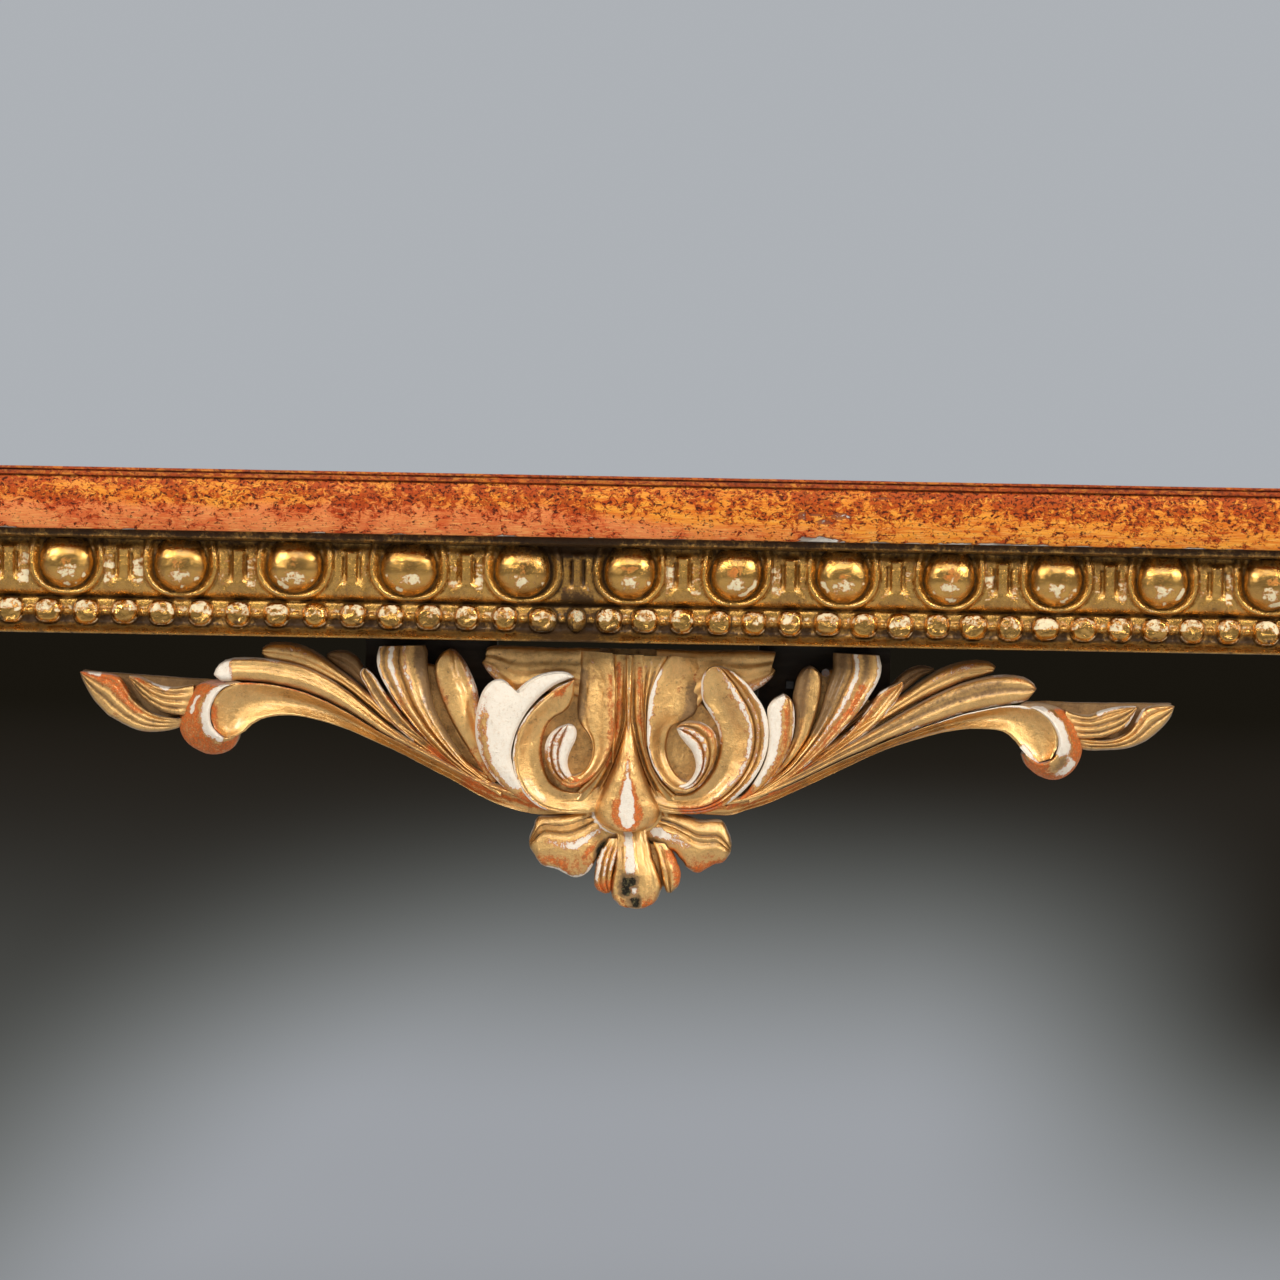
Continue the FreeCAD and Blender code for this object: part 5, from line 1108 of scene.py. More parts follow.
RIGHT_LOBES = (
    ("ground",
     (14, -4, 30, -20, 50, -26, 60, -33, 70, -29, 78, -13, 91, -10, 104, -24, 112, -20, 130, -17,
      150, -15, 165, -18),
     (14, -70, 40, -68, 60, -63, 80, -54, 100, -45, 120, -37, 135, -33.5, 150, -32, 160, -33, 170,
      -40),
     (13, 12, 10), (13, 12, 10), 0, (),
     (("r", 0, 1, 0, 1),)),
    ("end_plate",
     (162, -24, 172, -21.2, 186, -21.3, 200, -21.2, 215, -21, 228.6, -21),
     (162, -36, 180, -34, 192, -36, 205, -37, 218, -32, 228, -23),
     (12, 14), (12, 15), 0, (),
     (("d", 0, 1, 0, 1),)),
    ("end_outer",
     (186, -39, 193, -41.2, 200, -41.3, 210, -40.3, 218, -37, 224, -32, 228, -27, 229.6, -22.6),
     (186, -36, 193, -36.4, 200, -36.8, 206, -35.6, 211, -32.4, 214, -28, 216.5, -23.6, 221, -21.8,
      226, -21.3, 229.4, -22),
     (14, 15, 18), (17, 18, 20), 2.6, ((0.35, 0.08, 1.1), (0.66, 0.07, 1)),
     (("w", 0.9, 1, 0.7, 1), ("b", 0.7, 0.9, 0.5, 1), ("b", 0.2, 0.3, 0.2, 0.8), ("g", 0.93, 1, 0.6,
      0.8))),
    ("end_inner",
     (184, -37, 192, -36.4, 199, -36, 205, -34, 209.5, -31, 212, -27, 213.6, -23.4),
     (184, -24.4, 189, -26, 194, -26.2, 199, -24.4, 204, -23, 209, -22.4, 213.2, -22.4),
     (18, 19, 21), (18, 19, 22), 2.8, ((0.24, 0.06, 1.2), (0.5, 0.07, 1.4), (0.76, 0.06, 1.1)),
     (("g", 0.82, 1, 0.45, 1), ("g", 0, 0.14, 0.72, 1), ("b", 0.74, 0.86, 0.5, 0.9))),
    ("rib",
     (20, -70, 42, -71.4, 50, -69.3, 60, -66, 70, -61.3, 80, -56.5, 90, -51.5, 100, -46.5, 110, -42,
      120, -38.5, 130, -35.5, 140, -33.5, 150, -33, 158, -34, 163, -38, 167, -43, 172, -46.8),
     (20, -66, 40, -67, 50, -65.5, 60, -62, 70, -57.5, 80, -52.5, 90, -47.5, 100, -43, 110, -38.5,
      120, -34.5, 130, -30.8, 140, -27.3, 150, -24.8, 160, -23, 168, -23.3, 175, -26, 179.5, -32,
      180.6, -38, 178, -44.6),
     (17, 18, 19, 20, 22, 24), (20, 22, 23, 24, 25, 27), -3.2, ((0.5, 0.3, 1.2),),
     (("b", 0.5, 0.95, 0.02, 0.32), ("g", 0.93, 1, 0.62, 0.86), ("w", 0, 0.12, 0, 1), ("g", 0, 0.16,
      0.93, 1))),
    ("bulb",
     (164, -23.2, 170, -24, 176, -28, 180, -34, 180.6, -40, 178, -45, 173, -46.6, 169.6, -45, 167,
      -42.6),
     (166, -21.4, 174, -21.7, 182, -24, 188, -29, 191.3, -35, 191.6, -42, 189.5, -48, 185.5, -52.3,
      180, -54.2, 174, -52.7, 168.6, -48.8, 166.4, -44),
     (24, 27, 28, 26, 22), (20, 15, 13, 13, 16), 3.6, (),
     (("g", 0, 0.52, 0.1, 0.66), ("b", 0.45, 1, 0.2, 1), ("g", 0.4, 0.9, 0.58, 0.76), ("b", 0, 1,
      0.74, 0.96), ("d", 0.2, 0.6, 0.6, 0.74))),
    ("leaf_a",
     (40, -67.2, 50, -65.3, 60, -61.7, 70, -57.2, 80, -52.2, 90, -47.2, 100, -42.7, 110, -38.2, 120,
      -34.2, 130, -30.5, 140, -27, 150, -24.5, 160, -22.5, 167, -21, 170.6, -17),
     (40, -65, 50, -62.5, 60, -58.5, 70, -53.5, 80, -48, 90, -42, 100, -36, 110, -30, 120, -24, 130,
      -18.5, 140, -14, 150, -11, 158, -10, 165, -10.6, 169.6, -13, 171.2, -15.6),
     (22, 22, 21, 20, 22), (20, 20, 20, 21, 23), 4.4, ((0.5, 0.13, 1.3),),
     (("g", 0.93, 1, 0.86, 1), ("b", 0.7, 0.95, 0.9, 1), ("g", 0, 0.06, 0.55, 0.97), ("w", 0.55,
      0.62, 0.5, 1), ("d", 0.62, 0.86, 0.5, 0.9))),
    ("leaf_b",
     (58, -59, 70, -53, 80, -47.5, 90, -41.5, 100, -35, 110, -29, 120, -23, 130, -18, 140, -13.6,
      148, -11.2, 153, -9.3),
     (58, -56.6, 70, -50.5, 80, -44, 90, -37, 100, -30, 108, -24.5, 116, -19, 124, -13, 131, -8.5,
      138, -5.6, 145, -4.2, 151, -4.6, 154, -6.6),
     (20, 19, 19, 20), (19, 18, 18, 21), 4.2, ((0.4, 0.1, 0.9),),
     (("w", 0.9, 1, 0.7, 1), ("t", 0.5, 0.9, 0.7, 0.95), ("b", 0, 0.08, 0.55, 0.9))),
    ("leaf_c",
     (78, -45, 90, -36.5, 100, -29.2, 108, -23.7, 116, -18.2, 123, -12.3, 129, -9.2),
     (78, -43, 88, -35, 97, -27, 104, -21, 110, -16, 114, -12, 118, -8.7, 123, -7, 128, -7.8),
     (17, 15, 15), (17, 15, 16), 2.6, ((0.45, 0.08, 1),),
     (("d", 0, 1, 0.25, 1),)),
    ("leaf_d",
     (60, -63, 70, -56.5, 80, -50, 90, -43, 100, -36, 107, -29.5, 112, -23, 115.4, -16.5, 115.2,
      -13.8),
     (60, -60.6, 70, -54, 80, -46.5, 88, -40, 95, -33, 101, -25.5, 105, -19.5, 108, -17, 112, -15,
      114.8, -13.8),
     (21, 22, 23), (21, 22, 23), 1.2, ((0.5, 0.2, 2),),
     (("g", 0, 0.1, 0.5, 1), ("g", 0.88, 1, 0.3, 1), ("b", 0.6, 0.9, 0.3, 1), ("b", 0, 1, 0, 0.3))),
    ("leaf_e",
     (52, -66, 66, -57, 74, -51, 82, -43.6, 90, -35, 97, -26.6, 102, -19, 105.2, -13, 106.2, -8,
      105.2, -3),
     (52, -62.5, 66, -52, 72, -44, 77, -36, 80.5, -28, 82.3, -22, 84, -16, 86, -10, 86, -5, 86,
      -2.4),
     (22, 23, 24, 25), (20, 20, 19, 18), 2.6, ((0.3, 0.12, 1.8), (0.62, 0.05, 1.6), (0.84, 0.04,
      0.8)),
     (("g", 0, 0.07, 0.3, 1), ("b", 0.1, 0.38, 0.15, 0.85), ("g", 0.44, 0.56, 0.35, 1), ("g", 0.36,
      0.4, 0.3, 0.8), ("d", 0.66, 1, 0.5, 1), ("w", 0.6, 0.7, 0.2, 0.6))),
    ("leaf_f",
     (55, -59, 62, -52, 66.5, -45, 69.5, -37, 70.3, -29, 69.5, -22, 70.5, -15, 73, -10, 76.5, -8),
     (56, -61, 64, -53.8, 71, -46.3, 76, -38.2, 79, -30, 80.9, -22, 81.5, -15, 80.7, -11, 78.6,
      -8.8, 76.8, -8),
     (17, 17, 18), (19, 20, 20), 4, ((0.3, 0.09, 1),),
     (("d", 0, 0.6, 0.4, 1), ("w", 0.85, 0.95, 0.4, 1), ("b", 0.3, 0.5, 0.3, 0.6))),
    ("palmette",
     (12, -2.2, 30, -2.2, 42, -2, 52, -1.9, 60, -2.2, 62, -2.8, 58.4, -7),
     (12, -34, 26, -30, 36, -20, 46, -22, 55, -18, 60, -14, 62.4, -10.6),
     (19, 17, 15), (19, 17, 14), 2.2, ((0.3, 0.08, 0.8), (0.55, 0.08, 0.8), (0.78, 0.07, 0.8)),
     (("r", 0, 1, 0.8, 1), ("t", 0.7, 1, 0.5, 0.98), ("s", 0.2, 0.6, 0.15, 0.35))),
    ("small_heart",
     (42, -67.4, 50, -62, 55.5, -54, 58.7, -46, 59.5, -38, 59, -31, 58.8, -26.2, 61, -22.6, 65.3,
      -20),
     (43, -69, 52, -64, 60, -56.8, 66, -48, 69.3, -39, 70.4, -31, 69.8, -25, 68.4, -21.5, 66, -20),
     (21, 23, 24, 24), (20, 21, 22, 23), 2.6, ((0.86, 0.06, 1),),
     (("g", 0, 0.62, 0.22, 1), ("g", 0.9, 1, 0.3, 1), ("b", 0.55, 0.85, 0.3, 0.95), ("b", 0, 1, 0,
      0.25))),
    ("well",
     (12, -62, 24, -66, 34, -62, 41, -52, 42, -42, 39, -33, 33, -26, 28, -22),
     (11, -58, 12, -52, 12, -46, 12, -40, 13, -34, 15, -28, 19, -23, 26, -20),
     (17, 17), (17, 17), 0, (),
     (("r", 0, 1, 0, 1),)),
    ("scroll",
     (8, -58, 13, -61, 19, -63, 26, -62.6, 31, -59.6, 35.6, -54, 38.4, -47, 39.2, -40, 38, -34, 35,
      -29, 31.8, -23.4, 30.8, -17.6, 31.4, -13.2, 33.2, -10, 36, -8.7),
     (8, -68, 16, -70.4, 24, -71, 32, -70.6, 40, -68, 47, -63, 52.6, -57, 57, -49.6, 59.3, -41,
      59.2, -32, 57.4, -26, 54.6, -21.6, 50.2, -16, 44, -10.8, 39.6, -8.8, 36.8, -8.6),
     (18, 20, 22, 22, 24, 28), (20, 22, 24, 25, 26, 28), 0.8, ((0.3, 0.22, 2), (0.735, 0.028, 1.8),
      (0.865, 0.028, 1.6)),
     (("g", 0.56, 0.7, 0.3, 1), ("g", 0.76, 0.84, 0.28, 1), ("g", 0.89, 1, 0.3, 1), ("b", 0.5, 0.58,
      0.3, 0.95), ("g", 0, 0.05, 0.55, 1), ("d", 0.71, 0.76, 0.3, 1), ("d", 0.85, 0.885, 0.3, 1),
      ("b", 0.6, 1, 0.14, 0.33))),
    ("inner_flute",
     (5.6, -5, 5.6, -15, 6, -25, 7, -34, 8.2, -43),
     (17, -5, 12.6, -13, 10.2, -20, 9, -28, 8.8, -36, 9.2, -43),
     (22, 22, 22), (24, 25, 24), 0.8, ((0.35, 0.09, 1.2), (0.75, 0.12, 1.3)),
     (("g", 0.1, 0.24, 0.1, 1), ("b", 0, 0.1, 0.1, 1), ("d", 0.66, 0.86, 0, 0.3))),
    ("rim",
     (31, -6, 30, -14, 30, -22, 29, -28, 25, -31.5, 19.5, -34, 17.2, -39, 17, -45, 18.5, -50, 21,
      -54, 24, -56.4, 27.6, -57),
     (17.4, -4.6, 12.6, -13, 10, -20, 8.8, -28, 8.6, -36, 9.2, -44, 11.5, -51, 15.5, -57, 20, -60.6,
      25, -61.9, 29, -60.4),
     (18, 19, 19, 20, 22), (25, 26, 26, 26, 26), 0.4, ((0.5, 0.3, 1.8),),
     (("g", 0.9, 1, 0.08, 0.95), ("b", 0.84, 0.9, 0, 0.5), ("b", 0.97, 1, 0.8, 1), ("b", 0.35, 0.45,
      0.1, 0.3), ("d", 0, 0.3, 0.15, 0.45))),
    ("bowl",
     (17, -58, 24, -57, 28, -52, 28, -46, 25, -41, 20, -35),
     (15, -56, 13.5, -50, 13.2, -44, 14.6, -38, 17, -34.6),
     (18, 17, 17), (18, 17, 17), -3.5, (),
     (("d", 0, 0.5, 0.1, 0.5),)),
    ("curl",
     (21, -62, 26, -61.8, 31, -59, 34.6, -54, 37.2, -48.5, 38.1, -42, 36.6, -36.4, 33, -33, 28,
      -31.7, 24, -32.2, 21, -34.3),
     (20, -59.6, 25.5, -57.8, 28.4, -54.4, 29.3, -50, 27.8, -45, 24.8, -41.2, 22.3, -38, 21, -35.2),
     (23, 25, 26, 27), (24, 25, 26, 28), 2.8, ((0.33, 0.05, 1.8), (0.62, 0.05, 1.6)),
     (("g", 0.38, 1, 0.08, 1), ("g", 0, 0.06, 0.1, 0.9), ("g", 0.22, 0.28, 0.1, 0.9), ("b", 0.05,
      0.3, 0.4, 1), ("d", 0.29, 0.37, 0.1, 0.9), ("d", 0.58, 0.66, 0.1, 0.95))),
)

MIDDLE_LOBES = (
    ("board",
     (-24, -2.4, -24, -20, -24, -45, -20, -66, -14, -78),
     (24, -2.4, 24, -20, 24, -45, 20, -66, 16, -78),
     (12, 12), (12, 12), 0, (),
     (("r", 0, 1, 0, 1),)),
    ("left_flute",
     (-21, -3.4, -20.6, -14, -19, -26, -14, -40, -9, -50),
     (-5, -4.6, -4.6, -16, -4.2, -28, -4.4, -40, -5, -50),
     (17, 18), (22, 22), 0.8, ((0.3, 0.1, 1.2), (0.7, 0.1, 1.2)),
     (("d", 0, 0.3, 0, 0.4),)),
    ("skirt_left",
     (-5.4, -4.6, -5.2, -20, -5, -34, -6, -42, -8.4, -48, -11.4, -53, -15, -57, -19, -60.5, -22,
      -64),
     (1, -4.6, 0.8, -30, -0.8, -38, -3.4, -47, -6.8, -56, -10.2, -63, -13.2, -69.6, -15, -74),
     (23, 22, 21, 19), (22, 21, 19, 18), 0.6, ((0.62, 0.1, 1.5), (0.15, 0.06, 0.6)),
     (("b", 0.08, 0.55, 0.03, 0.72), ("w", 0.1, 0.5, 0.7, 1), ("d", 0.56, 0.7, 0, 0.8), ("s", 0.7,
      1, 0.5, 0.8))),
    ("skirt_right",
     (6.6, -4.6, 6.6, -15, 6.9, -25, 7.4, -34, 8.4, -43, 11, -51, 14.8, -57, 19, -61, 24, -65),
     (0.2, -4.6, 0.5, -30, 2.2, -38, 4.8, -47, 8.2, -56, 11.6, -63, 14.5, -69.4, 16.4, -74),
     (23, 22, 21, 19), (22, 21, 19, 18), 0.6, ((0.62, 0.1, 1.5), (0.15, 0.06, 0.6)),
     (("b", 0.08, 0.5, 0.03, 0.5), ("w", 0.1, 0.5, 0.5, 1), ("d", 0.56, 0.7, 0, 0.8), ("s", 0.1,
      0.4, 0.5, 0.9))),
    ("ridge",
     (-0.9, -4.8, -0.7, -20, -0.4, -32, 0.2, -44),
     (2.1, -4.8, 2, -20, 1.8, -32, 1.4, -44),
     (23.2, 23.4), (23.2, 23.4), 1.2, (),
     (("w", 0.2, 0.8, 0, 1), ("t", 0.3, 0.7, 0.2, 0.9))),
    ("low_ground",
     (-6, -66, -18, -70, -19, -78, -14, -86, -10, -94, -7, -101, -3, -106),
     (8, -66, 20, -70, 22, -78, 20, -86, 19.4, -94, 17.6, -101, 9, -106),
     (13, 14, 15), (13, 14, 15), 1.4, (),
     (("s", 0, 1, 0, 0.6), ("d", 0, 0.16, 0.4, 1), ("d", 0.86, 1, 0.4, 1))),
    ("low_left",
     (-2, -67, -14, -68.6, -20, -70.2, -28, -72.3, -36, -73.2, -38.6, -78, -40, -83, -39.8, -86),
     (-2, -84, -8, -86, -10.6, -89, -12.4, -92, -14.4, -95.4, -17, -97.6, -20.5, -98.6, -25, -97,
      -28, -95.2, -34, -93.7, -37.6, -89.7, -39.6, -86.6),
     (15, 16, 17), (16, 18, 17), 4.6, ((0.2, 0.028, 1.3), (0.31, 0.028, 1.3)),
     (("t", 0.38, 0.64, 0.1, 0.75), ("g", 0.45, 0.55, 0.22, 0.52), ("s", 0.62, 1, 0.3, 1), ("g",
      0.955, 1, 0.3, 1), ("b", 0.75, 0.95, 0.55, 0.9), ("b", 0.62, 0.8, 0.2, 0.4), ("d", 0.18, 0.22,
      0.1, 1), ("d", 0.29, 0.33, 0.1, 1), ("k", 0.8, 1, 0, 0.28))),
    ("low_right",
     (4, -67, 16, -69, 24, -71, 32, -73.2, 40, -73.2, 43.2, -77, 45, -82, 44.8, -86),
     (4, -82, 12, -84, 18, -86, 21, -87.6, 24, -91, 27, -94.2, 31, -95.7, 35, -93.7, 38, -92, 41.6,
      -91, 44.4, -87.6),
     (15, 16, 17), (16, 18, 17), 4.6, ((0.3, 0.03, 1.3), (0.45, 0.03, 1.3)),
     (("g", 0.52, 0.76, 0.14, 0.34), ("t", 0.48, 0.85, 0.08, 0.6), ("s", 0.6, 1, 0.5, 1), ("b",
      0.82, 1, 0.6, 1), ("d", 0.28, 0.32, 0.1, 1), ("d", 0.43, 0.47, 0.1, 1), ("k", 0.85, 1, 0,
      0.3), ("w", 0.34, 0.41, 0.2, 1))),
    ("finger_left",
     (-7, -82, -10.4, -88, -12, -94, -12.3, -100, -11, -103.7, -8.2, -105.2, -6.6, -104.8),
     (-1, -82, -3.2, -90, -4.4, -96, -5, -101, -5.2, -103.6, -6.2, -104.9),
     (17, 18, 17), (19, 20, 19), 2.4, ((0.34, 0.07, 1.3), (0.66, 0.07, 1.3)),
     (("g", 0.02, 0.26, 0.1, 0.8), ("g", 0.42, 0.58, 0.1, 0.8), ("b", 0, 1, 0.7, 1), ("g", 0.75,
      0.9, 0, 0.6))),
    ("finger_right",
     (12, -83, 14, -90, 15.5, -96, 16.5, -101, 18, -104, 20, -104.3),
     (19, -84, 21.6, -90, 23.5, -95.5, 23.7, -99, 22.4, -102, 20.3, -104.2),
     (19, 20, 19), (17, 18, 17), 2.4, ((0.4, 0.08, 1.3),),
     (("b", 0.5, 1, 0.1, 0.9), ("g", 0.3, 0.38, 0, 0.6), ("d", 0, 1, 0.85, 1))),
    ("tongue",
     (-4, -76, -3.6, -88, -4.5, -96, -5.3, -102, -4.7, -106.5, -1.6, -109.8, 3, -111, 5.3, -111.2),
     (9, -76, 11.6, -88, 14.3, -95, 16, -101, 15.2, -105, 13, -108.4, 9.5, -110.6, 6, -111.2),
     (18, 20, 19), (18, 20, 19), 5, ((0.16, 0.05, 1), (0.56, 0.04, 0.8), (0.82, 0.04, 0.8)),
     (("g", 0.24, 0.52, 0.05, 0.52), ("s", 0, 1, 0.66, 1), ("d", 0.08, 0.2, 0.1, 0.6), ("b", 0.6, 1,
      0.75, 1), ("k", 0.16, 0.52, 0.5, 0.72), ("k", 0.3, 0.6, 0.7, 0.92), ("g", 0.4, 0.52, 0.62,
      0.7))),
    ("collar",
     (0, -60, -9, -62, -14, -68.5, -13.5, -75, -8.4, -79, -2, -80.4, 0.6, -80.5),
     (1.4, -60, 10, -62, 15.6, -67.5, 15.2, -74.6, 10.4, -78.8, 4, -80.3, 1.2, -80.5),
     (20, 18, 18), (20, 18, 18), 0.8, (),
     (("g", 0, 0.1, 0.3, 1), ("w", 0.9, 1, 0.3, 1))),
    ("drop",
     (0.2, -30, -1.8, -40, -4.4, -49, -7.8, -57, -11, -64, -13.1, -70, -11.6, -74.6, -7, -77.7, -2,
      -78.8, 0.7, -78.9),
     (1.6, -30, 3.6, -40, 5.8, -49, 9, -57, 12.2, -64, 14.7, -69, 13.6, -74.2, 9.5, -77.6, 4, -78.8,
      1.1, -78.9),
     (23, 20, 18), (23, 20, 18), 9.5, (),
     (("b", 0.38, 0.62, 0.22, 0.96), ("b", 0.32, 0.68, 0.42, 0.95), ("b", 0.26, 0.75, 0.56, 0.93),
      ("t", 0.44, 0.56, 0.08, 0.5), ("g", 0.45, 0.55, 0.3, 0.86), ("g", 0.41, 0.59, 0.45, 0.84),
      ("g", 0.385, 0.62, 0.58, 0.8))),
)

# Paint kinds: channel of the wear numbers, strength, and softness of the border in millimetres
PAINT = {
    "d": (0, 0.85, 3.0), "w": (1, 0.8, 3.0), "g": (2, 0.92, 1.3), "b": (3, 0.80, 2.4),
    "s": (3, 0.50, 3.0), "t": (2, 0.52, 3.0), "k": (0, 1.9, 2.0), "r": (0, 0.40, 3.0),
}

# Rings along a lobe and points across its front
STATIONS, ACROSS = 60, 28

# Shares of the way to the middle line by which a wall leans in, and its height there
WALL_LEAN, BACK_LEAN, WALL_LEVEL = 0.03, 0.10, 0.55


def lobe_edge(corners, share, crumbly, seed):
    """One edge of a lobe at shares of its length, moved by value noise except at root and tip."""
    line = smooth_line(np.reshape(corners, (-1, 2)), share)
    shift = roughcast(line[:, 0], line[:, 1], 3.4, seed, 4) * crumbly
    return line + (shift * step(0.0, 0.2, share) * step(1.0, 0.9, share))[:, None]


def open_span(low, high, soft, x):
    """1 between low and high with soft ends, or past them where low is 0 or high is 1."""
    mask = step(low - soft, low + soft, x) if low > 0 else 1.0
    return mask * step(high + soft, high - soft, x) if high < 1 else mask


def carved_lobe(surface, lobe, number):
    """One lobe as a closed shell.

    Its front at (u, v) lies on the line from one edge to the other: the depth is the edges' own,
    blended across, plus the rise times the root of 4v(1-v), less a bell for each groove. The rise
    and the grooves fade where the lobe is narrow. Walls lean back in to the flat back. Paint is a
    ragged mask over u, v."""
    name, one, other, deep_one, deep_other, rise, grooves, paint = lobe
    share = np.linspace(0.0, 1.0, STATIONS)
    share = np.where(share > 0.9, 0.9 + 0.1 * np.sin((share - 0.9) / 0.1 * math.pi / 2), share)
    crumbly = 0.42 if name.split("_")[0] in ("low", "tongue", "finger") else 0.14
    a = lobe_edge(one, share, crumbly, number + 61.0)
    b = lobe_edge(other, share, crumbly, number + 67.0)
    mid = (a + b) / 2
    u = share[:, None]
    v = np.linspace(0.0, 1.0, ACROSS)
    v = (1.0 - np.cos(v * math.pi)) / 2.0 * 0.35 + v * 0.65
    x = a[:, :1] + (b[:, :1] - a[:, :1]) * v
    z = a[:, 1:] + (b[:, 1:] - a[:, 1:]) * v
    width = np.linalg.norm(b - a, axis=1)[:, None]
    fade = unit(width / max(0.8 * np.median(width), 0.1)) ** 0.8
    calm = 0.3 + 0.7 * step(0.0, 0.5, u)
    da, db = (np.interp(u, np.linspace(0, 1, len(deep)), deep) for deep in (deep_one, deep_other))
    crest = unit(4.0 * v * (1.0 - v))
    bulge = rise * np.sqrt(crest) * calm if rise > 0 else rise * crest
    depth = da * (1 - v) + db * v + bulge * fade
    hollow = np.zeros(depth.shape)
    for middle, half, deep in grooves:
        groove = bell(v - middle, half) * step(0.0, 0.25, u)
        depth = depth - deep * groove * fade
        # Narrow deep grooves are darkened: dirt and painted shade
        if deep > 1.0 and half < 0.15:
            hollow = np.maximum(hollow, groove * 0.75)
    edge = np.minimum(v, 1 - v) * width
    depth = depth - 0.9 * calm * bell(edge, 0.55)
    depth = depth + roughcast(x, z, 7.0, number) * 0.40 * fade
    depth = depth + roughcast(x, z, 2.2, number + 1) * 0.16

    none = np.zeros(depth.shape)
    wear = np.stack([hollow, bell(edge, 0.8) * 0.75, none, none], axis=-1)
    long = distance_along(mid)[-1]
    ragged = roughcast(x, z, 4.5, number + 2) * 0.9 + roughcast(x, z, 1.4, number + 3) * 0.6
    for kind, v0, v1, u0, u1 in paint:
        channel, strength, soft = PAINT[kind]
        soft_v = np.clip(soft / np.maximum(width, 1.0), 0.03, 0.3)
        mask = open_span(v0, v1, soft_v, v + ragged / np.maximum(width, 6.0))
        mask = none + mask * open_span(u0, u1, soft / long, u + ragged / long)
        if kind == "k":
            depth = depth - mask * (np.abs(roughcast(x, z, 3.0, number + 7)) + 0.4) * 1.6
        if kind in "gbst":
            wear[..., 0] *= 1.0 - 0.85 * mask
        if kind in "bs":
            wear[..., 2] *= 1.0 - 0.95 * mask
        if kind in "dk":
            wear[..., 2:] *= 1.0 - 0.85 * mask[..., None]
        wear[..., channel] = np.maximum(wear[..., channel], mask * strength)
    if grooves:
        wear[..., 2] *= 1.0 - 0.7 * hollow

    back = 0.02 * number
    # The walls are darkened: painted shade where they lean back under the lobe's front
    wall_shade = np.zeros((STATIONS, 1, 4))
    wall_shade[..., 0] = 0.8
    strips = [(x, z, depth, wear)]
    for line, deep, lean, level in (
            (b, db, WALL_LEAN, WALL_LEVEL), (b, db, BACK_LEAN, 0.0),
            (a, da, BACK_LEAN, 0.0), (a, da, WALL_LEAN, WALL_LEVEL)):
        line = line + (mid - line) * lean
        strips.append((line[:, :1], line[:, 1:], back + (deep - back) * level, wall_shade))
    x, z, depth, wear = (np.concatenate(parts, axis=1) for parts in zip(*strips))
    x, z = x * PENDANT_GROWN, (z - EYE_UP) * PENDANT_GROWN + EYE_UP
    surface.tube(lay_on("front", PENDANT_BACK)(x, depth, z + FRIEZE_FOOT), wear,
                 np.stack([x, z], axis=-1) * MM)


class OBJECT_OT_table_pendant(bpy.types.Operator):
    """Carve the acanthus pendant under the middle of the front"""

    bl_idname = "object.table_pendant"
    bl_label = "Carved pendant"

    def execute(self, context):
        surface = Surface()
        for number, lobe in enumerate(LEFT_LOBES + RIGHT_LOBES + MIDDLE_LOBES, 1):
            carved_lobe(surface, lobe, number)
        gold = gilding(
            "bright_gold", (0.88, 0.52, 0.180), (0.33, 0.168, 0.052), (0.70, 0.135, 0.016),
            (0.88, 0.77, 0.62), (0.16, 0.100, 0.055), dusting=0.55, matt=0.30)
        surface.build("pendant_carved", "pendant", gold, 60.0)
        return {"FINISHED"}


# Legs and brackets

# A leg's post: its size, how far out it stands, and its place at the front and back
POST = 58.0
POST_OUT = 639.0
POST_FRONT = -179.0
POST_BACK = 205.0

# From the rail down: out as a share of the sweep, height as a share of the frieze's foot, depth and
# width of the post, how far the section is turned on its corner, and a back leg's width
LEG_ROWS = (
    (0.00, 1.000, 1.00, 1.00, 1.0, 1.00), (0.16, 0.980, 1.06, 1.08, 1.0, 1.00),
    (0.34, 0.945, 1.12, 1.16, 0.9, 1.00), (0.42, 0.895, 1.08, 1.14, 0.8, 1.00),
    (0.38, 0.825, 0.96, 1.02, 0.7, 0.94), (0.26, 0.720, 0.84, 0.88, 0.6, 0.84),
    (0.08, 0.580, 0.73, 0.74, 0.5, 0.72), (-0.08, 0.430, 0.64, 0.63, 0.4, 0.62),
    (-0.18, 0.290, 0.56, 0.55, 0.3, 0.54), (-0.20, 0.190, 0.51, 0.51, 0.2, 0.50),
    (-0.12, 0.115, 0.49, 0.52, 0.1, 0.50), (0.06, 0.065, 0.48, 0.54, 0.0, 0.52),
)
HEAD_HEIGHTS = (TOP_FOOT, 802.0, 786.0)
SCROLL_EYE_UP = 50.0

# Distances down a leg: where its carving starts, its husks start and end, and the toe leaf ends
CARVING_FROM, HUSKS_FROM, HUSKS_TO, TOE_TO = 46.0, 300.0, 564.0, 700.0
HUSK_PITCH = 33.0

# Each leg: place, side, post's place north, heading in degrees, sweep, and whether it is a back leg
LEGS = (
    ("front_left", -1, POST_FRONT, -135.0, 54.0, False),
    ("front_right", 1, POST_FRONT, -45.0, 54.0, False),
    ("back_left", -1, POST_BACK, 180.0, 42.0, True),
    ("back_right", 1, POST_BACK, 0.0, 42.0, True),
)

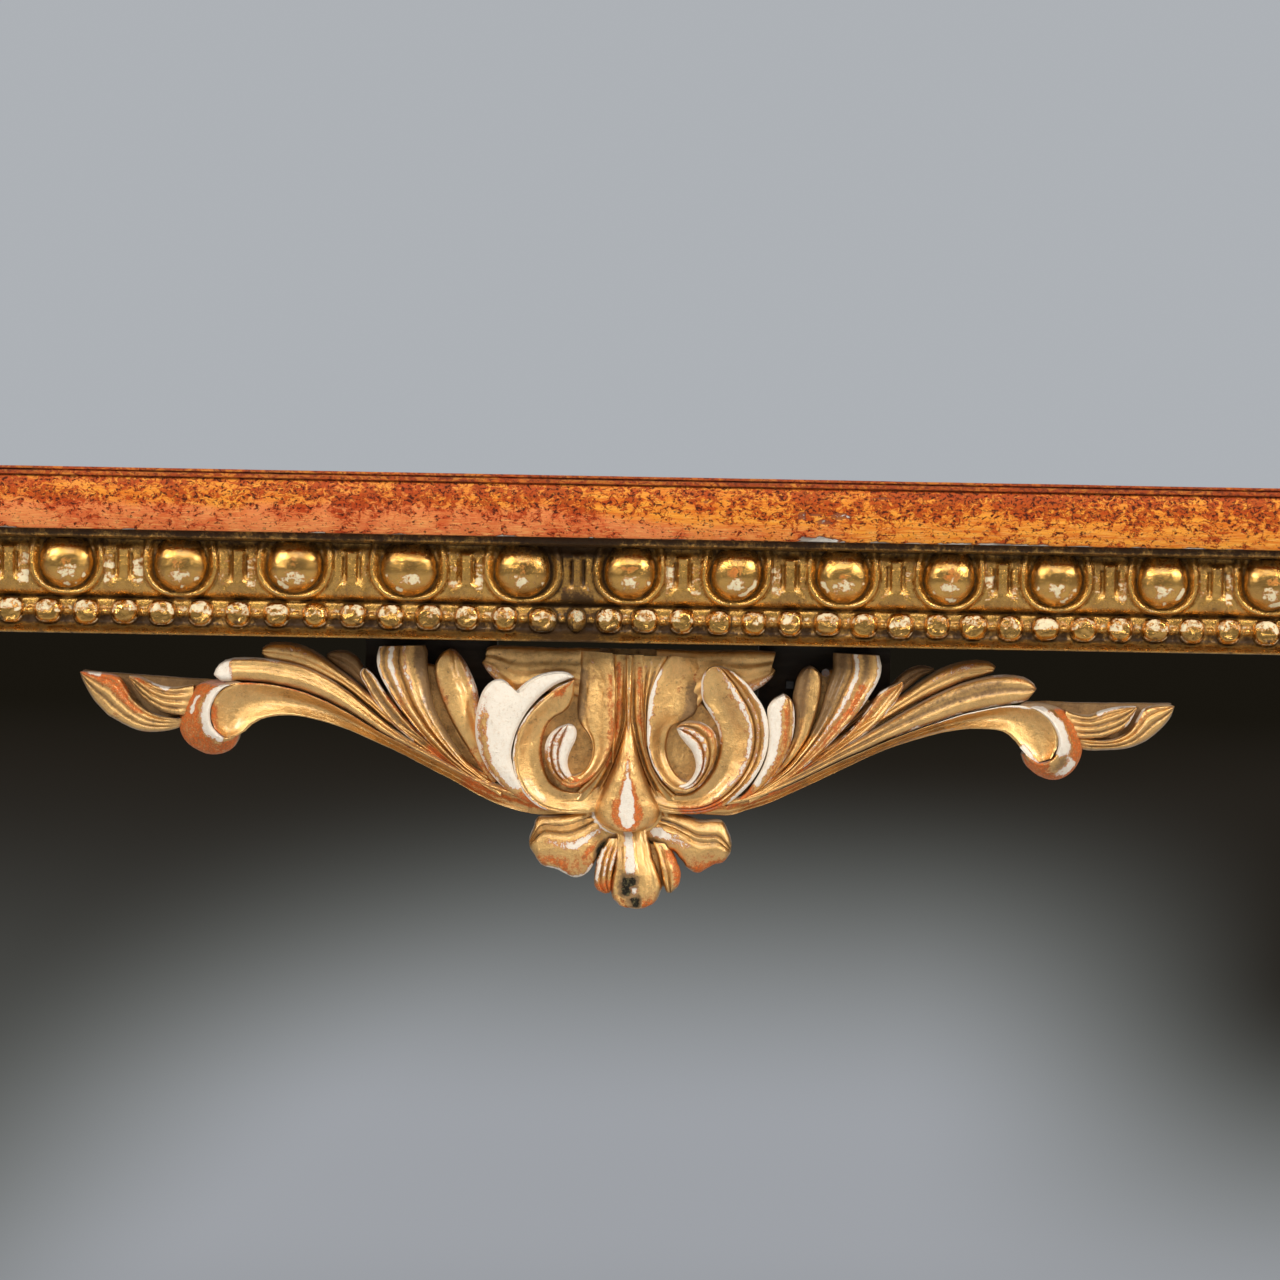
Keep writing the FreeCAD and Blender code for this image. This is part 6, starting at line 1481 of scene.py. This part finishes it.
# A bracket's lower and upper edge, out from the leg and up from the frieze's foot
BRACKET_LOW = (
    (9, -66), (18, -60.3), (28, -51.5), (36, -41), (41.5, -31), (44, -24), (54, -14.7), (66, -8.3),
    (84, -5.1), (104, -9),
)
BRACKET_HIGH = (
    (0, -66), (0, -44), (0, -22), (1, -6), (8, 0), (30, 0), (60, 0), (84, 0), (104, 0),
)
BRACKET_HALF = 10.0

# Brackets' distance from the table's middle: on the front, on the ends
BRACKET_FRONT, BRACKET_SIDE = 194.0, 654.0

# A foot's pad: height and half width
PAD = ((0.0, 21.6), (0.9, 23.0), (9.0, 23.0), (10.2, 22.0), (11.4, 21.4), (13.0, 20.4))

# A boss from its middle to its rim: share of its radius, and of its half length that it stands out
BOSS = (
    (0.0, 0.04), (0.35, 0.02), (0.55, -0.05), (0.66, -0.10), (0.74, -0.03), (0.86, 0.0),
    (0.96, -0.05), (1.0, -0.12),
)


def squircle(turn, power):
    """Distance from the middle to |x|^p + |y|^p = 1 at each angle."""
    return (np.abs(np.cos(turn)) ** power + np.abs(np.sin(turn)) ** power) ** (-1.0 / power)


def leg_path(sweep, back):
    """Centre, depth, width and turn of the section down the leg and round its scroll foot.

    The rows are joined by a smooth curve. The scroll is a spiral about the eye, from 140 degrees
    below to 150 degrees above, drawing in as it turns."""
    out, up, deep, wide, turned, back_wide = np.array(LEG_ROWS).T
    if back:
        wide, turned = back_wide, turned * 0.0
    shaft = smooth_line(
        np.stack([out * sweep, up * FRIEZE_FOOT, deep * POST, wide * POST, turned], axis=1), 130)
    head = [(0.0, height, POST, POST, shaft[0, 4]) for height in HEAD_HEIGHTS]
    share = np.linspace(0.0, 1.0, 70)
    angle = np.radians(-140.0 + 290.0 * share)
    reach = 30.0 - 17.0 * share
    eye = 32.0 * sweep / 54.0
    scroll = np.stack([
        eye + np.cos(angle) * reach, SCROLL_EYE_UP + np.sin(angle) * reach,
        27.0 - 13.0 * share, 32.0 + 4.0 * share, np.zeros(70)], axis=1)
    return np.vstack([head, shaft, scroll[1:]]), eye


def leg_leaf(down, across, long):
    """An acanthus leaf's height and the darkening of its veins, dirt and painted shade.

    A scalloped outline, a mid rib and curling side veins."""
    share = unit(down / long)
    half = 0.92 * np.sin(math.pi * unit(share * 0.90 + 0.10)) ** 0.62
    half = half * (1.0 + 0.13 * np.abs(np.sin(share * 5.0 * math.pi)))
    inside = step(half + 0.03, half - 0.10, np.abs(across)) * step(1.0, 0.93, share)
    veins = np.cos((np.abs(across) * 5.2 - share * 10.0) * math.pi)
    rib = bell(across, 0.07)
    curl = bell(np.abs(across) - half + 0.12, 0.10)
    return inside * (3.0 + 0.9 * veins * (1 - rib) - rib + 1.5 * curl), inside * (0.5 - 0.5 * veins)


def carved_leg(surface, sweep, back, turn, east, north, seed):
    """One leg: rounded square sections along the path, a knee leaf, husks, a toe leaf and a foot.

    A section is |x|^p + |y|^p = 1, with p from 1.15, a square on its corner, through 2.2 to 5.5,
    a square on its side."""
    path, eye = leg_path(sweep, back)
    along = np.gradient(path[:, :2], axis=0)
    along /= np.linalg.norm(along, axis=1)[:, None]
    outward = np.stack([-along[:, 1], along[:, 0]], axis=1)
    down = distance_along(path[:, :2])[:, None]
    turned = path[:, 4:5]
    power = np.interp(turned, (0.0, 0.5, 1.0), (5.5, 2.2, 1.15))
    grown = np.interp(turned, (0.0, 0.5, 1.0), (1.0, 1.04, 1.30)) / 2
    theta = np.linspace(0.0, 2 * math.pi, 72, endpoint=False)[None, :]
    cos, sin = np.cos(theta), np.sin(theta)
    radius = squircle(theta, power)
    across = sin * radius
    facing = step(0.0, 0.35, cos)

    leaf, veins = leg_leaf(down - CARVING_FROM, across * 1.02, 250.0)
    leaf = leaf * facing * (down > CARVING_FROM)
    toe, toe_veins = leg_leaf(TOE_TO - down, across, 150.0)
    toe = toe * facing * (down < TOE_TO) * 0.7
    place = (down - HUSKS_FROM) / HUSK_PITCH % 1.0
    husk_half = 0.34 * np.sin(math.pi * unit(place * 0.90 + 0.10)) ** 0.55
    husk = 3.2 * dome(across / husk_half) * (0.45 + 0.55 * place)
    husk = husk - 0.9 * bell(across, 0.035) * (husk > 0.4)
    chain = step(HUSKS_FROM, HUSKS_FROM + 1.0, down) * step(HUSKS_TO, HUSKS_TO - 1.0, down) * facing
    husk = husk * chain
    line = bell(np.abs(across) - 0.60, 0.07) * step(0.0, 30.0, down - CARVING_FROM)
    line = line * (1 - unit((leaf + toe) / 2))
    girth = theta * 20.0
    grain = roughcast(girth, down, 24.0, seed) * 0.5
    grain = grain + roughcast(theta * 30.0, down, 6.0, seed + 1) * 0.2
    lift = (leaf + toe + husk - 1.5 * line + grain) * (down > CARVING_FROM) * 0.8
    lift = lift * step(len(path) - 1.0, len(path) - 12.0, np.arange(len(path)))[:, None]

    x = cos * (radius * path[:, 2:3] * grown + lift)
    y = sin * (radius * path[:, 3:4] * grown + lift)
    out = path[:, :1] + outward[:, :1] * x
    up = path[:, 1:2] + outward[:, 1:2] * x
    angle = math.radians(turn)

    def headed(out, aside, up):
        """A point out from the post on the leg's heading, and aside from it."""
        return np.stack([
            east + out * math.cos(angle) - aside * math.sin(angle),
            north + out * math.sin(angle) + aside * math.cos(angle), up], axis=-1)

    # hollow: darkening in low places, husk gaps and veins, dirt and painted shade
    hollow, high = relief_wear(x + np.abs(y), 4, 0.45)
    hollow = hollow + chain * (np.abs(across) < 0.42) * bell(husk, 0.5) * 0.8
    hollow = unit(hollow + (leaf > 0.5) * veins * 0.7 + (toe > 0.5) * toe_veins * 0.7)
    high = unit(high + (leaf > 3.6) * 0.5 + (husk > 2.0) * 0.4)
    chipped = step(0.45, 0.85, roughcast(girth, down, 40.0, seed + 2)) * (cos > 0) * 0.62
    rubbed = step(0.25, 0.8, roughcast(girth, down, 30.0, seed + 3)) * 0.7
    surface.tube(headed(out, y, up), np.stack([hollow, high, chipped, rubbed], axis=-1),
                 np.stack(np.broadcast_arrays(girth, down), axis=-1) * MM)
    middle = headed(eye, 0.0, SCROLL_EYE_UP)
    boss(surface, middle, headed(eye, 1.0, SCROLL_EYE_UP) - middle, 20.0, 10.0)
    spin = np.linspace(0.0, 2 * math.pi, 64, endpoint=False)[None, :]
    height, half = (part[:, None] for part in np.array(PAD).T)
    shape = squircle(spin, 9.0) * half
    surface.tube(headed(eye + shape * np.cos(spin), shape * np.sin(spin), height + 0.0 * shape))


def boss(surface, middle, axis, half, radius):
    """A turned boss: a round along the axis with a rolled rim and a domed middle at each end."""
    share, proud = np.array(BOSS).T
    reach = np.concatenate([share, share[::-1]])[:, None, None] * radius
    place = np.concatenate([1 + proud, -1 - proud[::-1]])[:, None, None] * half
    upright = np.array((0.0, 0.0, 1.0))
    turn = np.linspace(0.0, 2 * math.pi, 40, endpoint=False)[:, None]
    rings = middle + place * axis + reach * (
        np.cos(turn) * np.cross(axis, upright) + np.sin(turn) * upright)
    wear = np.zeros(rings.shape[:2] + (4,))
    # The rim's groove is darkened, dirt and painted shade; both ends are rubbed
    wear[(3, -4), :, 0] = 0.8
    wear[(0, 1, -1, -2), :, 3] = 0.6
    surface.tube(rings, wear)


def carved_bracket(surface, side, line, root, way, seed):
    """One bracket: two edges joined across, fluted like a shell and rimmed along the low edge.

    Depth at (u, v) is the half thickness plus 1.5 times the cosine of 9 turns of u, times 4v(1-v)
    to the power 0.7, less the rim's groove. It lies on a side's line, from its root one way."""
    u = np.linspace(0.0, 1.0, 120)
    high, low = smooth_line(BRACKET_HIGH, u), smooth_line(BRACKET_LOW, u)
    u, v = u[:, None], np.linspace(0.0, 1.0, 26)[None, :]
    x = high[:, :1] + (low[:, :1] - high[:, :1]) * v
    z = high[:, 1:] + (low[:, 1:] - high[:, 1:]) * v
    wide = np.linalg.norm(low - high, axis=1)[:, None]
    inset = (1 - v) * wide
    fade = unit(wide / 30.0)
    flutes = np.cos(9.0 * 2 * math.pi * u) * 1.5 * (4 * v * (1 - v)) ** 0.7 * fade
    rim = -1.6 * bell(inset - 5.5, math.sqrt(1.8))
    deep = BRACKET_HALF + 0.8 + (flutes + rim) * fade - 1.4 * bell(inset, 0.8)
    deep = deep + roughcast(x, z, 8.0, seed) * 0.3
    # Darker in the flute troughs and the rim's groove: dirt and painted shade
    wear = np.stack([
        unit(-(flutes + rim) * 0.55), unit(unit(flutes * 0.6) + bell(inset, 1.6)),
        np.zeros(x.shape), step(0.3, 0.8, roughcast(x, z, 18.0, seed + 3)) * 0.7], axis=-1)
    x, z, depth, wear = (
        np.concatenate([face, behind[:, ::-1]], axis=1)
        for face, behind in ((x, x), (z, z), (deep, -deep), (wear, wear)))
    lay = lay_on(side, line)
    surface.tube(lay(root + way * x, depth, z + FRIEZE_FOOT), wear, np.stack([x, z], axis=-1) * MM)
    spot, ahead = (lay(root + way * 23.0, out, FRIEZE_FOOT - 20.0) for out in (0.0, 1.0))
    boss(surface, spot, ahead - spot, 13.6, 10.6)


class OBJECT_OT_table_legs(bpy.types.Operator):
    """Carve the four legs with their scroll feet and the six brackets beside them"""

    bl_idname = "object.table_legs"
    bl_label = "Legs and brackets"

    def execute(self, context):
        # Dark brown hollow colour: dirt and painted shade in the carving's hollows
        gold = gilding(
            "leg_gold", (0.78, 0.42, 0.108), (0.23, 0.108, 0.026), (0.60, 0.13, 0.018),
            (0.80, 0.67, 0.50), (0.070, 0.040, 0.018), grime_and_shade=0.8, wear_share=0.6, matt=0.24)
        for number, (place, side, north, turn, sweep, back) in enumerate(LEGS):
            surface = Surface()
            carved_leg(surface, sweep, back, turn, side * POST_OUT, north, 50.0 + 3.0 * number)
            surface.build("leg_carved_" + place, "leg_" + place, gold, 55.0)
        inner = POST_OUT - POST / 2
        ahead, behind = POST_FRONT + POST / 2, POST_BACK - POST / 2
        for number, (place, side, line, root, way) in enumerate((
                ("front_left", "front", BRACKET_FRONT, -inner, 1),
                ("front_right", "front", BRACKET_FRONT, inner, -1),
                ("left_front", "right", -BRACKET_SIDE, ahead, 1),
                ("left_back", "right", -BRACKET_SIDE, behind, -1),
                ("right_front", "right", BRACKET_SIDE, ahead, 1),
                ("right_back", "right", BRACKET_SIDE, behind, -1))):
            surface = Surface()
            carved_bracket(surface, side, line, root, way, 70.0 + number)
            surface.build("bracket_carved_" + place, "bracket_" + place, gold, 55.0)
        return {"FINISHED"}


class OBJECT_OT_table_frame(bpy.types.Operator):
    """Give rails, bearers, blocks, pegs and nails their wood and iron"""

    bl_idname = "object.table_frame"
    bl_label = "Frame and fixings"

    def execute(self, context):
        pine = timber("old_pine", (0.40, 0.235, 0.105), (0.20, 0.10, 0.038))
        # Dark pine on the blocks behind the pendant and near-black nails: painted shade, so they
        # read as the shadowed gap behind the pendant
        dark = timber("shadow_dark_pine", (0.066, 0.052, 0.036), (0.038, 0.029, 0.019))
        shadow_black = timber(
            "shadow_black_iron", (0.006, 0.005, 0.004), (0.003, 0.0025, 0.002),
            (1.0, 1.0, 1.0), 0.002, 1.0)
        oak = timber("oak", (0.20, 0.105, 0.045), (0.09, 0.042, 0.016), (1.0, 6.0, 6.0), 0.004)
        iron = old_iron("forged_iron")
        for finish, nodes in (
                (pine, ("rail_front", "rail_back", "rail_left", "rail_right", "bearer_left",
                        "bearer_right", "glue_blocks", "top_tongue")),
                (dark, ("pendant_block_left", "pendant_block_right")),
                (shadow_black, ("pendant_nails",)), (oak, ("tenon_pegs",)),
                (iron, ("top_nails", "repair_nail"))):
            for node in nodes:
                dress(node, finish)
        return {"FINISHED"}


# Stage

FLOOR_REACH = 90.0

# The backdrop's colours: painted shadow far off and nearer, and the two ends of the sweep's painted
# pool of light
PAINTED_SHADOW_COLOURS = ((0.0095, 0.0078, 0.0050), (0.0175, 0.0145, 0.0110))
PAINTED_LIGHT_POOL = ((0.333, 0.357, 0.338), (0.342, 0.357, 0.385))

# Name, place and size in metres, and power in watts
LAMPS = (
    ("lamp_left", (-1.9, -2.1, 2.0), (0.32, 0.7), 40.0),
    ("lamp_right", (2.2, -1.9, 2.0), (0.40, 1.0), 50.0),
    ("lamp_front", (0.1, -2.45, 2.75), (1.8, 0.8), 29.0),
)
LAMP_AIM = (0.0, -0.2, 0.72)
CAMERA_AIM = (0.0050, -(FRAME_FRONT + FRIEZE_DEEP) * MM, 0.7815)


class OBJECT_OT_table_stage(bpy.types.Operator):
    """Lay the floor, hang the lamps and place the camera"""

    bl_idname = "object.table_stage"
    bl_label = "Stage"

    def execute(self, context):
        settings = context.scene.table_stage
        scene = context.scene
        self.floor(settings)
        self.surroundings(scene, settings)
        for lamp in LAMPS:
            self.lamp(*lamp)
        self.camera(scene, settings)
        scene.view_settings.view_transform = "Standard"
        return {"FINISHED"}

    @staticmethod
    def floor(settings):
        """A level square, pale and lit about the table; far behind it a sweep that darkens, with
        painted light and shade.

        The sweep is a painted shadow of the table, darker far off, and brightens downwards in the
        picture into a painted pool of light, less so to the left and high on the right, where
        painted shadows of the table's ends fall. It shows its own colour to the camera and to
        reflections, and lights nothing else."""
        mesh = bpy.data.meshes.new("floor")
        corners = ((-1, -1), (1, -1), (1, 1), (-1, 1))
        mesh.from_pydata(
            [(FLOOR_REACH * x, FLOOR_REACH * y, 0) for x, y in corners], [], [(0, 1, 2, 3)])
        f = Finish("floor_matt")
        place = f.place()
        east, north = f.part(place, 0), f.part(place, 1)
        grain = f.noise(place, 0.4, 3.0, 0.5)
        pale = f.mix(grain * 0.3, settings.floor_colour, shaded(settings.floor_colour, 0.94))
        distance = (north + settings.camera_far).top(1.0)
        aside = east / distance
        dip = settings.camera_tall / distance
        # leftward and rightward: painted shadows of the table's ends on the sweep; share: the
        # painted pool of light
        leftward = (dip + aside * 0.98).rise(-0.026, 0.057) * 0.8 + 0.2
        rightward = 1.0 - aside.rise(0.042, 0.116) * (1.0 - dip.rise(0.073, 0.142))
        share = dip.rise(0.039, 0.103) * leftward * rightward
        painted_backdrop = f.mix(share, f.mix(distance.rise(27.0, 18.0), *PAINTED_SHADOW_COLOURS), f.mix(share, *PAINTED_LIGHT_POOL))
        lit = f.node("BsdfPrincipled", None, {
            "Base Color": pale, "Roughness": 0.85, "Specular IOR Level": 0.1})
        painted_sweep = f.node("Emission", None, {"Color": painted_backdrop})
        seen = f.node("LightPath", out="Is Camera Ray")
        seen = seen.top(f.node("LightPath", out="Is Glossy Ray"))
        both = f.node("MixShader", None, {0: north.rise(1.2, 4.4) * seen, 1: lit, 2: painted_sweep})
        f.tree.links.new(both.socket, f.output.inputs["Surface"])
        mesh.materials.append(f.material)
        ground = bpy.data.objects.new("floor", mesh)
        bpy.context.scene.collection.objects.link(ground)

    @staticmethod
    def surroundings(scene, settings):
        """A plain backdrop for the camera, dimmer for reflections and dimmest on all else."""
        world = bpy.data.worlds.new("surroundings")
        world.use_nodes = True
        tree = world.node_tree
        background = tree.nodes["Background"]
        background.inputs["Color"].default_value = (*settings.wall_colour, 1.0)
        paths = tree.nodes.new("ShaderNodeLightPath")
        seen = tree.nodes.new("ShaderNodeMath")
        seen.operation = "MULTIPLY_ADD"
        tree.links.new(paths.outputs["Is Glossy Ray"], seen.inputs[0])
        seen.inputs[1].default_value = 0.5
        tree.links.new(paths.outputs["Is Camera Ray"], seen.inputs[2])
        strength = tree.nodes.new("ShaderNodeMapRange")
        strength.inputs["To Min"].default_value = settings.fill_light
        tree.links.new(seen.outputs[0], strength.inputs["Value"])
        tree.links.new(strength.outputs[0], background.inputs["Strength"])
        scene.world = world

    @staticmethod
    def lamp(name, spot, size, power):
        """A soft lamp turned towards the middle of the front."""
        light = bpy.data.lights.new(name, "AREA")
        light.shape = "RECTANGLE"
        light.size, light.size_y = size
        light.energy = power
        lamp = bpy.data.objects.new(name, light)
        lamp.location = spot
        lamp.rotation_euler = (Vector(LAMP_AIM) - Vector(spot)).to_track_quat("-Z", "Y").to_euler()
        lamp.visible_camera = False
        bpy.context.scene.collection.objects.link(lamp)

    @staticmethod
    def camera(scene, settings):
        """A long lens level with the top, turned a little about its line of sight."""
        aim = Vector(CAMERA_AIM)
        spot = Vector((aim.x, aim.y - settings.camera_far, settings.camera_tall))
        data = bpy.data.cameras.new("camera")
        data.sensor_width = 36.0
        data.lens = data.sensor_width * (aim - spot).length / settings.picture_wide
        data.clip_end = 200.0
        view = bpy.data.objects.new("camera", data)
        turn = (aim - spot).to_track_quat("-Z", "Y").to_matrix().to_4x4()
        roll = Matrix.Rotation(settings.camera_roll, 4, "Z")
        view.matrix_world = Matrix.Translation(spot) @ turn @ roll
        scene.collection.objects.link(view)
        scene.camera = view


# Panel and registration

class VIEW3D_PT_table(bpy.types.Panel):
    """Sizes, colours and builders of the table"""

    bl_idname = "VIEW3D_PT_table"
    bl_label = "Giltwood console table"
    bl_space_type = "VIEW_3D"
    bl_region_type = "UI"
    bl_category = "Table"

    def draw(self, context):
        for _, group in GROUPS:
            settings = getattr(context.scene, group)
            box = self.layout.box()
            for name in settings.bl_rna.properties.keys():
                if name not in ("rna_type", "name"):
                    box.prop(settings, name)
        for builder in BUILDERS:
            self.layout.operator(builder.bl_idname)


GROUPS = (
    (TopSettings, "table_top"), (FriezeSettings, "table_frieze"), (StageSettings, "table_stage"))
BUILDERS = (
    OBJECT_OT_table_top, OBJECT_OT_table_frieze, OBJECT_OT_table_pendant, OBJECT_OT_table_legs,
    OBJECT_OT_table_frame, OBJECT_OT_table_stage)


def register():
    for group, name in GROUPS:
        bpy.utils.register_class(group)
        setattr(bpy.types.Scene, name, PointerProperty(type=group))
    for builder in (*BUILDERS, VIEW3D_PT_table):
        bpy.utils.register_class(builder)


def unregister():
    for builder in (VIEW3D_PT_table, *reversed(BUILDERS)):
        bpy.utils.unregister_class(builder)
    for group, name in reversed(GROUPS):
        delattr(bpy.types.Scene, name)
        bpy.utils.unregister_class(group)


def main():
    """Register the add-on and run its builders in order."""
    register()
    for builder in BUILDERS:
        area, name = builder.bl_idname.split(".")
        getattr(getattr(bpy.ops, area), name)()


if __name__ == "__main__":
    main()
